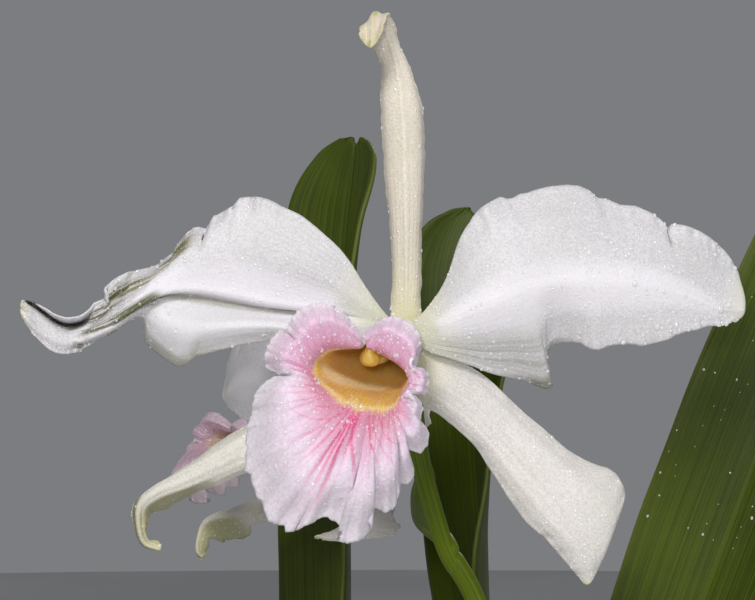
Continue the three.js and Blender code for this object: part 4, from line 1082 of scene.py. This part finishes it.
make_flower("front", front_place, {}, 1.0, rows=220, columns=76)
make_flower("back", back_place, BACK_BENDS, BACK_FLOWER["scale"], rows=104, columns=38)


# Stems

STALK_RADII = [3.1, 3.3, 3, 2.6, 2.5, 2.6]
FRONT_STALK = [
    [-17, -54.7, 490], [-16.8, -48, 488], [-16, -40, 480], [-14.8, -33, 468], [-12.6, -28, 455],
    [-9.4, -23.5, 443], [-6, -19.2, 432.2], [-2.4, -17, 425.4],
]
BACK_STALK = [
    [-30.8, 55.6, 463], [-24, 60, 459], [-15, 57, 453], [-10.4, 44, 447], [-12, 24, 442.4],
    [-11.6, 2, 437.6], [-6.3, -17.1, 434], [-3.8, -17.8, 429],
]
MAIN_STEM = [
    [22, -5, 285], [20.5, -6, 310], [17, -9, 350], [9, -12.6, 395], [2, -14.4, 418], [-5.4, -18.6, 431.2],
]
STEM_RADII = [2.99, 2.6, 2.6, 2.6, 2.6, 2.912]


def make_stem(name, node, path, radii, ridges):
    steps, sides = np.linspace(0, 1, 90), 32
    furrow = 1 - 0.012 * ridges * (1 + np.cos(6 * circle(sides)))[None] / 2
    swell = 1 + 0.008 * waves(steps, [3, 7], len(name))[:, None]
    radius = spread(radii, steps) * furrow * swell * round_end(steps, 0.975, 0.026)
    add_piece(rod_mesh(name, by_length(path, steps), radius, sides), "stem", "stem", node)


make_stem("front_stalk", "front_flower_stalk", FRONT_STALK, STALK_RADII, 1)
make_stem("back_stalk", "back_flower_stalk", BACK_STALK, STALK_RADII, 1)
make_stem("main_stem", "flower_stem", MAIN_STEM, STEM_RADII, 0)

# Leaves

LEAF_HALF_WIDTHS = [4.2, 9, 16, 21, 23.5, 24.5, 24.5, 24, 23, 21.5, 20]
LEAF_STATIONS = 60
# The tip is rounded past a share of the length, with a small notch at the midrib and its rows closer together
LEAF_TIP = {"from": 0.91, "end": 0.16, "notch": 0.009, "notch_width": 0.3, "round": 0.006, "crowding": 1.4}
LEAF_SWELL = -0.06
LEAF_THICKNESS, LEAF_EDGE = 1.9, 0.9
LEAVES = [
    {"name": "flowering", "facing": [[-0.35, -1, 0.1], [-0.35, -1, 0.1]], "fold": 24, "midrib": [
        [25.5, 3.4, 285.2], [39, 6, 335], [54, 3, 385], [71, -4, 435], [91, -8, 488], [112, -10, 536],
        [128, -12, 566]]},
    {"name": "second", "facing": [[-1, 0, 0.1], [-0.1, -1, 0.1]], "fold": 22, "midrib": [
        [10, 34.6, 262.8], [10, 50, 330], [8, 66, 400], [5, 78, 460], [4, 84, 500], [6, 87, 526]]},
    {"name": "third", "facing": [[-0.9, -0.4, 0.1], [-0.75, -0.65, 0.1]], "fold": 26, "midrib": [
        [-28, 56.6, 266.8], [-31, 72, 330], [-34, 86, 395], [-35, 95, 460], [-34, 98, 510], [-30, 98, 548]]},
    {"name": "fourth", "facing": [[0.3, -0.25, 1], [0.3, -0.25, 1]], "fold": 20, "midrib": [
        [-48.6, 12, 236.9], [-60, 12, 285], [-84, 8, 335], [-122, 2, 368], [-168, -4, 374],
        [-206, -10, 352]]},
]


def leaf_grid(leaf, rows, columns):
    share = np.linspace(0, 1, LEAF_STATIONS + 1)
    middle = by_length(leaf["midrib"], share)
    tangent = unit(by_length(leaf["midrib"], share + 1e-3) - by_length(leaf["midrib"], share - 1e-3))
    start, end = (np.array(f, float) for f in leaf["facing"])
    look = start + (end - start) * (share ** 3)[:, None]
    face = unit(look - tangent * np.sum(tangent * look, 1, keepdims=True))
    in_tip = np.clip((share - LEAF_TIP["from"]) / (1 - LEAF_TIP["from"]), 0, 1)
    rounding = np.sqrt(1 - (1 - LEAF_TIP["end"] ** 2) * in_tip ** 2)
    width = spread(LEAF_HALF_WIDTHS, share) * rounding[:, None]
    fold = math.radians(leaf["fold"]) * (1 - 0.5 * smooth(0.9, 1.0, share))[:, None]
    out, forward = np.cross(tangent, face) * width * np.cos(fold), face * width * np.sin(fold)
    rails = (middle - out + forward, middle, middle + out + forward)
    swells = np.repeat(LEAF_SWELL * width, 2, 1)
    along, across = np.linspace(0, 1, rows), np.linspace(-1, 1, columns)
    along = 1 - (1 - along) ** LEAF_TIP["crowding"]
    grid = np.empty((rows, columns, 3))
    for j, c in enumerate(across):
        notch = LEAF_TIP["notch"] * math.exp(-((c / LEAF_TIP["notch_width"]) ** 2))
        steps = along * (1 - notch - LEAF_TIP["round"] * c * c)
        grid[:, j] = ribbon(*rails, swells, steps, c[None])[:, 0]
    a, c = crossed(along, across)
    lift = 0.5 * waves(a, [3, 5, 8], len(leaf["name"])) * np.abs(c) ** 3 - 0.7 * bump(c, 0, 0.06)
    lift += 0.06 * np.cos(c * 60)
    return grid + normals_of(grid) * lift[..., None]


for leaf in LEAVES:
    grid = leaf_grid(leaf, rows=110, columns=47)
    mesh = sheet_mesh(f"{leaf['name']}_bulb_leaf", grid, LEAF_THICKNESS, LEAF_EDGE)
    add_piece(mesh, "leaf", "leaf", f"{leaf['name']}_leaf")
    DEW_GROUNDS[f"{leaf['name']}_leaf"] = grid

# Pot, bark and what grows out of it

POT = {"height": 140, "top": 78, "base": 56, "wall": 7, "floor": 10, "rim": 26, "step": 5}
DRAIN = {"count": 3, "radius": 7, "from_axis": 30}
CUTTER_DEPTH = 0.03
BARK = {"top": 124, "bottom": 12, "gap": 0.6, "dome": 3}
BARK_RIM = POT["top"] - POT["wall"] - 1.5 - BARK["gap"]
SHOULDER = {"radius": 0.6 * BARK_RIM, "level": BARK["top"] + 0.8 * BARK["dome"]}
RHIZOME = {"radius": 4.6, "height": BARK["top"] + BARK["dome"] + 4.9}


def bark_level(x, y):
    dome = (BARK["top"] + BARK["dome"], SHOULDER["level"], BARK["top"])
    return np.interp(math.hypot(x, y), (0, SHOULDER["radius"], BARK_RIM), dome)


# A profile with its corners cut round, each in a few steps
def rounded(profile, cut, steps=4):
    points = [profile[0]]
    for before, corner, after in zip(profile, profile[1:], profile[2:]):
        before, corner, after = (np.array(v, float) for v in (before, corner, after))
        reach = min(cut, np.linalg.norm(before - corner) / 2, np.linalg.norm(after - corner) / 2)
        start = corner + unit(before - corner) * reach
        end = corner + unit(after - corner) * reach
        for t in np.linspace(0, 1, steps):
            points.append((1 - t) ** 2 * start + 2 * t * (1 - t) * corner + t * t * end)
    return [*points, profile[-1]]


def make_pot():
    height, top, base, wall, floor = (POT[key] for key in ("height", "top", "base", "wall", "floor"))
    foot = height - POT["rim"]
    profile = [
        (0, 0), (base - 2, 0), (base, 2), (top - POT["step"], foot), (top - 1.5, foot), (top, foot + 2),
        (top, height - 2), (top - 2, height), (top - wall + 1, height), (top - wall, height - 2),
        (top - wall - 1.5, foot), (base - wall, floor + 3), (base - wall - 4, floor), (0, floor),
    ]
    pot = add_piece(lathe_mesh("terracotta_pot", rounded(profile, 1.6), 144), "pot", "pot", "clay_pot")
    for angle in circle(DRAIN["count"]) + math.pi / 6:
        place = polar(DRAIN["from_axis"] * MM, angle)
        bpy.ops.mesh.primitive_cylinder_add(vertices=40, radius=DRAIN["radius"] * MM, depth=CUTTER_DEPTH,
                                            location=place)
        cutter = bpy.context.object
        hole = pot.modifiers.new("hole", "BOOLEAN")
        hole.operation, hole.object, hole.solver = "DIFFERENCE", cutter, "EXACT"
        bpy.context.view_layer.objects.active = pot
        bpy.ops.object.modifier_apply(modifier="hole")
        bpy.data.objects.remove(cutter)


make_pot()


# A chip's four rings of points: level and width as shares of its size
CHIP_LEVELS = ((-1, 0.82), (-0.55, 1.0), (0.5, 0.98), (1, 0.78))
# Layers of chips: how many, how far over the bed, and their size
CHIP_LAYERS = ((150, -4.5, 9.5), (230, -2.0, 8.5), (150, -0.4, 6.0))
CHIP_CEILING = 4.2


# One bark chip: a flat block with cut corners, roughened
def chip_points(size, seed):
    made = np.random.default_rng(seed)
    count = 7
    angle = np.sort(made.uniform(0, 2 * math.pi, count)) * 0.35 + circle(count) * 0.65
    radius = made.uniform(0.75, 1.1, count)
    outline = polar(radius, angle)[:, :2] * size[:2]
    points = [np.column_stack([outline * shrink + made.normal(0, 0.35, outline.shape),
                               np.full(count, level * size[2]) + made.normal(0, 0.25, count)])
              for level, shrink in CHIP_LEVELS]
    low, top = len(CHIP_LEVELS) * count, (len(CHIP_LEVELS) - 1) * count
    faces = []
    for k in range(top):
        m = k // count * count + (k + 1) % count
        faces.append([k, m, m + count, k + count])
    for k in range(count):
        m = (k + 1) % count
        faces += [[low, m, k], [low + 1, top + k, top + m]]
    return np.concatenate([*points, [[0, 0, -size[2]]], [[0, 0, size[2] * 1.05]]]), faces


def make_bark():
    inside = POT["base"] - POT["wall"]
    profile = [(0, BARK["bottom"]), (inside - 5, BARK["bottom"]), (inside - 0.4, BARK["bottom"] + 4),
               (BARK_RIM, POT["height"] - POT["rim"]), (BARK_RIM, BARK["top"] - 3),
               (SHOULDER["radius"], SHOULDER["level"] - 3), (0, BARK["top"] + BARK["dome"] - 3)]
    add_piece(lathe_mesh("bark_bed", rounded(profile, 1), 72), "bed", "bark", "potting_bark")
    points, faces = [], []
    for number, lift, size in CHIP_LAYERS:
        for _ in range(number):
            radius = BARK_RIM * math.sqrt(rng.uniform(0, 1))
            long = size * rng.uniform(0.6, 1.35)
            angle = rng.uniform(0, 2 * math.pi)
            radius = min(radius, BARK_RIM - long * 0.8)
            x, y = radius * math.cos(angle), radius * math.sin(angle)
            dims = (long, long * rng.uniform(0.45, 0.8), rng.uniform(1.3, 2.6))
            shape, quads = chip_points(dims, int(rng.integers(1 << 30)))
            turn, tilt_x, tilt_y = rng.uniform(0, 6.28), rng.normal(0, 0.2), rng.normal(0, 0.2)
            shape = turned(shape, math.degrees(tilt_x), math.degrees(turn))
            shape[:, 2] += shape[:, 0] * tilt_y
            level = bark_level(x, y) + lift
            shape[:, 2] = np.minimum(shape[:, 2] + level, level + CHIP_CEILING)
            base = len(points) * len(shape)
            faces += [[base + v for v in quad] for quad in quads]
            points.append(shape + (x, y, 0))
    add_piece(mesh_from("bark_chips", np.concatenate(points), faces, smooth_faces=False), "chips", "bark")


make_bark()

BULBS = [
    {"name": "flowering", "foot": [32, -12], "top": [24, -1, 284], "radius": 13},
    {"name": "second", "foot": [16, 16], "top": [10, 34, 262], "radius": 12},
    {"name": "third", "foot": [-10, 30], "top": [-28, 56, 266], "radius": 12},
    {"name": "fourth", "foot": [-32, 8], "top": [-48, 12, 236], "radius": 12.5},
    {"name": "oldest", "foot": [-27, -24], "top": [-38, -40, 214], "radius": 11},
]
BULB_PROFILE = [0.42, 0.5, 0.72, 0.95, 1, 0.9, 0.66, 0.46]
BULB_FOOT = RHIZOME["height"] + RHIZOME["radius"] + 0.4
SHEATH_REACH = 0.42


def bulb_path(bulb):
    start, end = np.array([*bulb["foot"], BULB_FOOT]), np.array(bulb["top"], float)
    middle = start + (end - start) * 0.45
    middle[:2] += (np.array(bulb["foot"]) - end[:2]) * 0.12
    return [start, middle, end]


SHRIVELLED = ("oldest", "fourth")
FURROWS, DEEP_FURROWS = 0.075, 0.11
BULB_JOINTS = (0.3, 0.55, 0.78)


def make_bulb(bulb, index):
    steps, sides = np.linspace(0, 1, 90), 66
    angle = circle(sides)
    furrows = sum(np.abs(np.cos(n * angle / 2 + shift)) ** 0.7 * weight
                  for n, shift, weight in ((7, index, 0.6), (11, 2.1 * index, 0.4)))
    depth = DEEP_FURROWS if bulb["name"] in SHRIVELLED else FURROWS
    radius = spread(BULB_PROFILE, steps) * bulb["radius"]
    radius = radius * (1 - depth * (1 - furrows[None]) * window(steps, 0.08, 0.94, 0.05)[:, None])
    for joint in BULB_JOINTS:
        ring = 1 + 0.02 * bump(steps, joint, 0.006) - 0.02 * bump(steps, joint + 0.015, 0.008)
        radius = radius * ring[:, None]
    mesh = rod_mesh(f"{bulb['name']}_bulb", by_length(bulb_path(bulb), steps), radius, sides)
    add_piece(mesh, "bulb", "pseudobulb", f"{bulb['name']}_pseudobulb")


DRY_THICKNESS, DRY_EDGE = 0.5, 0.3


def make_sheath(bulb, index):
    a, c = crossed(np.linspace(0, 1, 40), np.linspace(-1, 1, 80))
    torn = 1 - 0.22 * np.abs(waves((c + 1) / 2, [2, 5, 9], 40 + index))
    a = a * np.clip(torn - 0.05 * np.abs(waves(c, [23, 31], 50 + index)), 0.5, 1)
    reach = 0.01 + SHEATH_REACH * a
    centres = by_length(bulb_path(bulb), reach.reshape(-1)).reshape(*a.shape, 3)
    profile = spread(BULB_PROFILE, reach.reshape(-1)).reshape(a.shape) * bulb["radius"]
    angle = math.radians(40 + 75 * index) + c * np.radians(150 - 60 * a)
    around = profile + 0.9 + 2.5 * a * a + 0.25 * np.sin(c * 40 + 3 * a) * a
    around = around + 0.5 * a * waves(c, [3, 5], 60 + index)
    mesh = sheet_mesh(f"{bulb['name']}_bulb_sheath", centres + polar(around, angle), DRY_THICKNESS, DRY_EDGE)
    add_piece(mesh, "sheath", "sheath", f"{bulb['name']}_sheath")


for index, bulb in enumerate(BULBS):
    make_bulb(bulb, index)
    make_sheath(bulb, index)

# lean: how far the spathe goes right, behind and up for each millimetre that it rises
SPATHE = {"base": [22, -5, 285.8], "height": 74, "wrap": 3.8, "lean": (-0.085, -0.062, 1)}


def make_spathe():
    a, c = crossed(np.linspace(0, 1, 60), np.linspace(-1, 1, 50))
    reach = a * (1 - 0.12 * np.abs(c) ** 2)
    angle = -math.pi / 2 + c * (2.5 - 1.1 * reach)
    around = SPATHE["wrap"] + 1.6 * np.sin(math.pi * reach) + 0.12 * np.sin(c * 30)
    axis = np.array(SPATHE["base"]) + (reach * SPATHE["height"])[..., None] * SPATHE["lean"]
    grid = axis + polar(around, angle)
    add_piece(sheet_mesh("stem_spathe", grid, DRY_THICKNESS, DRY_EDGE), "spathe", "sheath", "spathe")


make_spathe()

NEW_SHOOT = [[38.7, -25.4, 0.2], [42, -32, 3], [47, -38, 16], [50, -41, 32]]
NEW_SHOOT_RADII = [3.4, 5.4, 5.6, 3.6, 1]
ROOT_RADII = [2, 2.2, 2.2, 1.3]
ROOT_LIFT = 2.6
ROOTS = [
    [[-19, -36, 2.6], [-18, -47, 0], [-8, -55, 0], [8, -58, 0], [22, -56, 0]],
    [[-40, 14, 2.6], [-50, 22, 0], [-57, 20, 1], [-64, 21, 13.5], [-71, 23, 17.5], [-78, 25, 17],
     [-84, 27, 8], [-85, 27, -16], [-81, 27, -46]],
    [[2, 38, 2.6], [8, 47, 0], [22, 53, 0], [38, 47, 0]],
    [[39, 0, 1.6], [49, 8, 0], [56, 6, 0], [60, -6, 0]],
]


def make_rootstock():
    feet = [[-24, -32], *[bulb["foot"] for bulb in reversed(BULBS)], [38, -24]]
    steps, sides = np.linspace(0, 1, 260), 36
    centres = by_length([[x, y, RHIZOME["height"]] for x, y in feet], steps)
    nodes = 0.05 * (np.abs(np.sin(steps * 60)) ** 6)[:, None]
    rings = 1 + nodes - 0.04 * (1 + np.cos(5 * circle(sides)))[None]
    radius = RHIZOME["radius"] * rings * round_end(np.abs(steps - 0.5), 0.485, 0.016)
    add_piece(rod_mesh("creeping_stem", centres, radius, sides), "bulb", "pseudobulb", "rhizome")
    for index, root in enumerate(ROOTS):
        steps = np.linspace(0, 1, 140)
        centres = by_length([[x, y, bark_level(x, y) + ROOT_LIFT + above] for x, y, above in root], steps)
        sway = [waves(steps, [6, 11], 70 + index), waves(steps, [7, 12], 80 + index)]
        centres[:, :2] += 0.35 * np.stack(sway, 1)
        radius = spread(ROOT_RADII, steps) * (1 + 0.05 * waves(steps, [13, 29, 43], 90 + index))[:, None]
        mesh = rod_mesh(f"aerial_root_{index + 1}", centres, radius * round_end(steps, 0.975, 0.025), 24)
        add_piece(mesh, "root", "root", f"root_{index + 1}")


# The new shoot, with a step where each of its scales ends
def make_shoot():
    steps, sides = np.linspace(0, 1, 80), 36
    centres = by_length([[x, y, RHIZOME["height"] + above] for x, y, above in NEW_SHOOT], steps)
    scales = sum(0.22 * (smooth(end - 0.2, end, steps) - smooth(end, end + 0.012, steps))
                 for end in (0.3, 0.55, 0.8))
    flat = 1 - 0.16 * np.cos(2 * circle(sides))[None]
    radius = spread(NEW_SHOOT_RADII, steps) * (1 + scales[:, None]) * flat * 0.94
    add_piece(rod_mesh("young_shoot", centres, radius, sides), "shoot", "leaf", "new_shoot")


make_rootstock()
make_shoot()


# Dew: low round drops on the front flower and the right-hand leaf, on the side that faces the picture

# A drop of radius 1: its top, rings down to its rim, and a foot under it
def drop_template(rings=3, sides=9, flat=0.55):
    tilt, turn = crossed(math.pi / 2 * np.arange(1, rings + 1) / rings, circle(sides))
    dome = polar(np.sin(tilt), turn, flat * np.cos(tilt)).reshape(-1, 3)
    foot, last = 1 + rings * sides, 1 + (rings - 1) * sides
    faces = []
    for k in range(sides):
        m = (k + 1) % sides
        faces.append([0, 1 + k, 1 + m])
        for a in range(1, last, sides):
            faces.append([a + k, a + sides + k, a + sides + m, a + m])
    faces += [[foot, last + (k + 1) % sides, last + k] for k in range(sides)]
    return np.concatenate([[(0, 0, flat)], dome, [(0, 0, -0.1)]]), faces


# A drop lies only where the surface faces the picture, and this deep in it
FACING_AWAY = -0.1
DROP_SINK = 0.02


def make_dew(name, ground, count, sizes, thickness=PETAL_THICKNESS, lowest=0.0, highest=1.0, edge_share=0.3):
    grid = DEW_GROUNDS[ground]
    normal = normals_of(grid)
    rows, columns = grid.shape[:2]
    template, quads = drop_template()
    points, faces = [], []
    made = np.random.default_rng(len(ground) * 31 + count)
    for _ in range(count):
        i = int(made.uniform(lowest, highest) * (rows - 3)) + 1
        if made.uniform() < edge_share:
            j = int(np.clip(abs(made.normal(0, 0.04)), 0, 0.3) * (columns - 3)) + 1
            j = j if made.uniform() < 0.5 else columns - 1 - j
        else:
            j = int(made.uniform(0.02, 0.98) * (columns - 3)) + 1
        up = normal[i, j]
        if up[1] > FACING_AWAY:
            continue
        size = sizes[0] + (sizes[1] - sizes[0]) * made.uniform() ** 3
        side = unit(np.cross(up, (0.3, 0.2, 1.0)))
        stretch = 1 + 0.35 * made.uniform()
        x, y, z = (template * size)[:, :, None].transpose(1, 0, 2)
        place = grid[i, j] + up * (thickness / 2 - DROP_SINK)
        base = len(points) * len(template)
        points.append(place + x * side + y * stretch * np.cross(up, side) + z * up)
        faces += [[base + v for v in face] for face in quads]
    add_piece(mesh_from(name, np.concatenate(points), faces), "water", "water")


DEW_COUNTS = {"dorsal_sepal": 170, "left_petal": 420, "right_petal": 560, "left_lateral_sepal": 90,
              "right_lateral_sepal": 260}
for part, count in DEW_COUNTS.items():
    make_dew(f"front_{part}_dew", f"front_{part}", count, (0.1, 0.5))
make_dew("right_petal_tip_dew", "front_right_petal", 90, (0.35, 0.8), lowest=0.62, highest=0.97)
make_dew("front_lip_dew", "front_lip", 480, (0.1, 0.5), lowest=0.5, edge_share=0.05)
make_dew("flowering_leaf_dew", "flowering_leaf", 200, (0.15, 0.5), LEAF_THICKNESS, 0.4, 1.0, 0.1)


# Floor, light and camera

BLOOM = (-0.03, -0.06, 0.48)
# Each light: place in metres, width, power and colour; all of them look at the bloom
LIGHTS = (
    ("key", (-0.32, -1.12, 1.28), 0.36, 10.5, (1.0, 0.99, 0.97)),
    ("front", (-0.07, -0.82, 0.58), 0.1, 1.8, (1.0, 0.99, 0.98)),
    ("fill", (1.1, -1.0, 0.5), 0.9, 3.5, (0.95, 0.97, 1.0)),
    ("back", (0.5, 1.3, 1.2), 0.9, 6, (1.0, 1.0, 1.0)),
)


def add_light(name, place, size, power, colour):
    data = bpy.data.lights.new(name, "AREA")
    data.shape = "DISK"
    data.size = size
    data.energy = power
    data.color = colour
    obj = bpy.data.objects.new(name, data)
    bpy.context.scene.collection.objects.link(obj)
    obj.location = place
    obj.rotation_euler = (Vector(BLOOM) - Vector(place)).to_track_quat("-Z", "Y").to_euler()


def make_stage():
    reach, corners = 4.4, 96
    mesh = bpy.data.meshes.new("floor")
    mesh.from_pydata(polar(reach, circle(corners)).tolist(), [], [tuple(range(corners))])
    floor = bpy.data.objects.new("floor", mesh)
    bpy.context.scene.collection.objects.link(floor)
    p = Paint("floor_pale", Roughness=0.9)
    p.colour = p.mix(p.noise(2.0, 2.0).between(0.3, 0.7), srgb(206, 206, 204), srgb(214, 214, 212))
    mesh.materials.append(p.done())
    world = bpy.data.worlds.new("studio")
    bpy.context.scene.world = world
    world.use_nodes = True
    background = world.node_tree.nodes["Background"].inputs
    background["Color"].default_value = (0.2, 0.205, 0.215, 1)
    background["Strength"].default_value = 1.0
    for light in LIGHTS:
        add_light(*light)
    bpy.context.scene.view_settings.view_transform = "Standard"


SENSOR_WIDTH = 36


def make_camera():
    data = bpy.data.cameras.new("camera")
    data.sensor_width = SENSOR_WIDTH
    data.lens = data.sensor_width * VIEW_DISTANCE / (PICTURE[0] * PIXEL)
    camera = bpy.data.objects.new("camera", data)
    bpy.context.scene.collection.objects.link(camera)
    camera.location = (FRONT_FLOWER + (EYE[0], -VIEW_DISTANCE, EYE[1])) * MM
    camera.rotation_euler = (math.pi / 2, 0, 0)
    bpy.context.scene.camera = camera


make_stage()
make_camera()
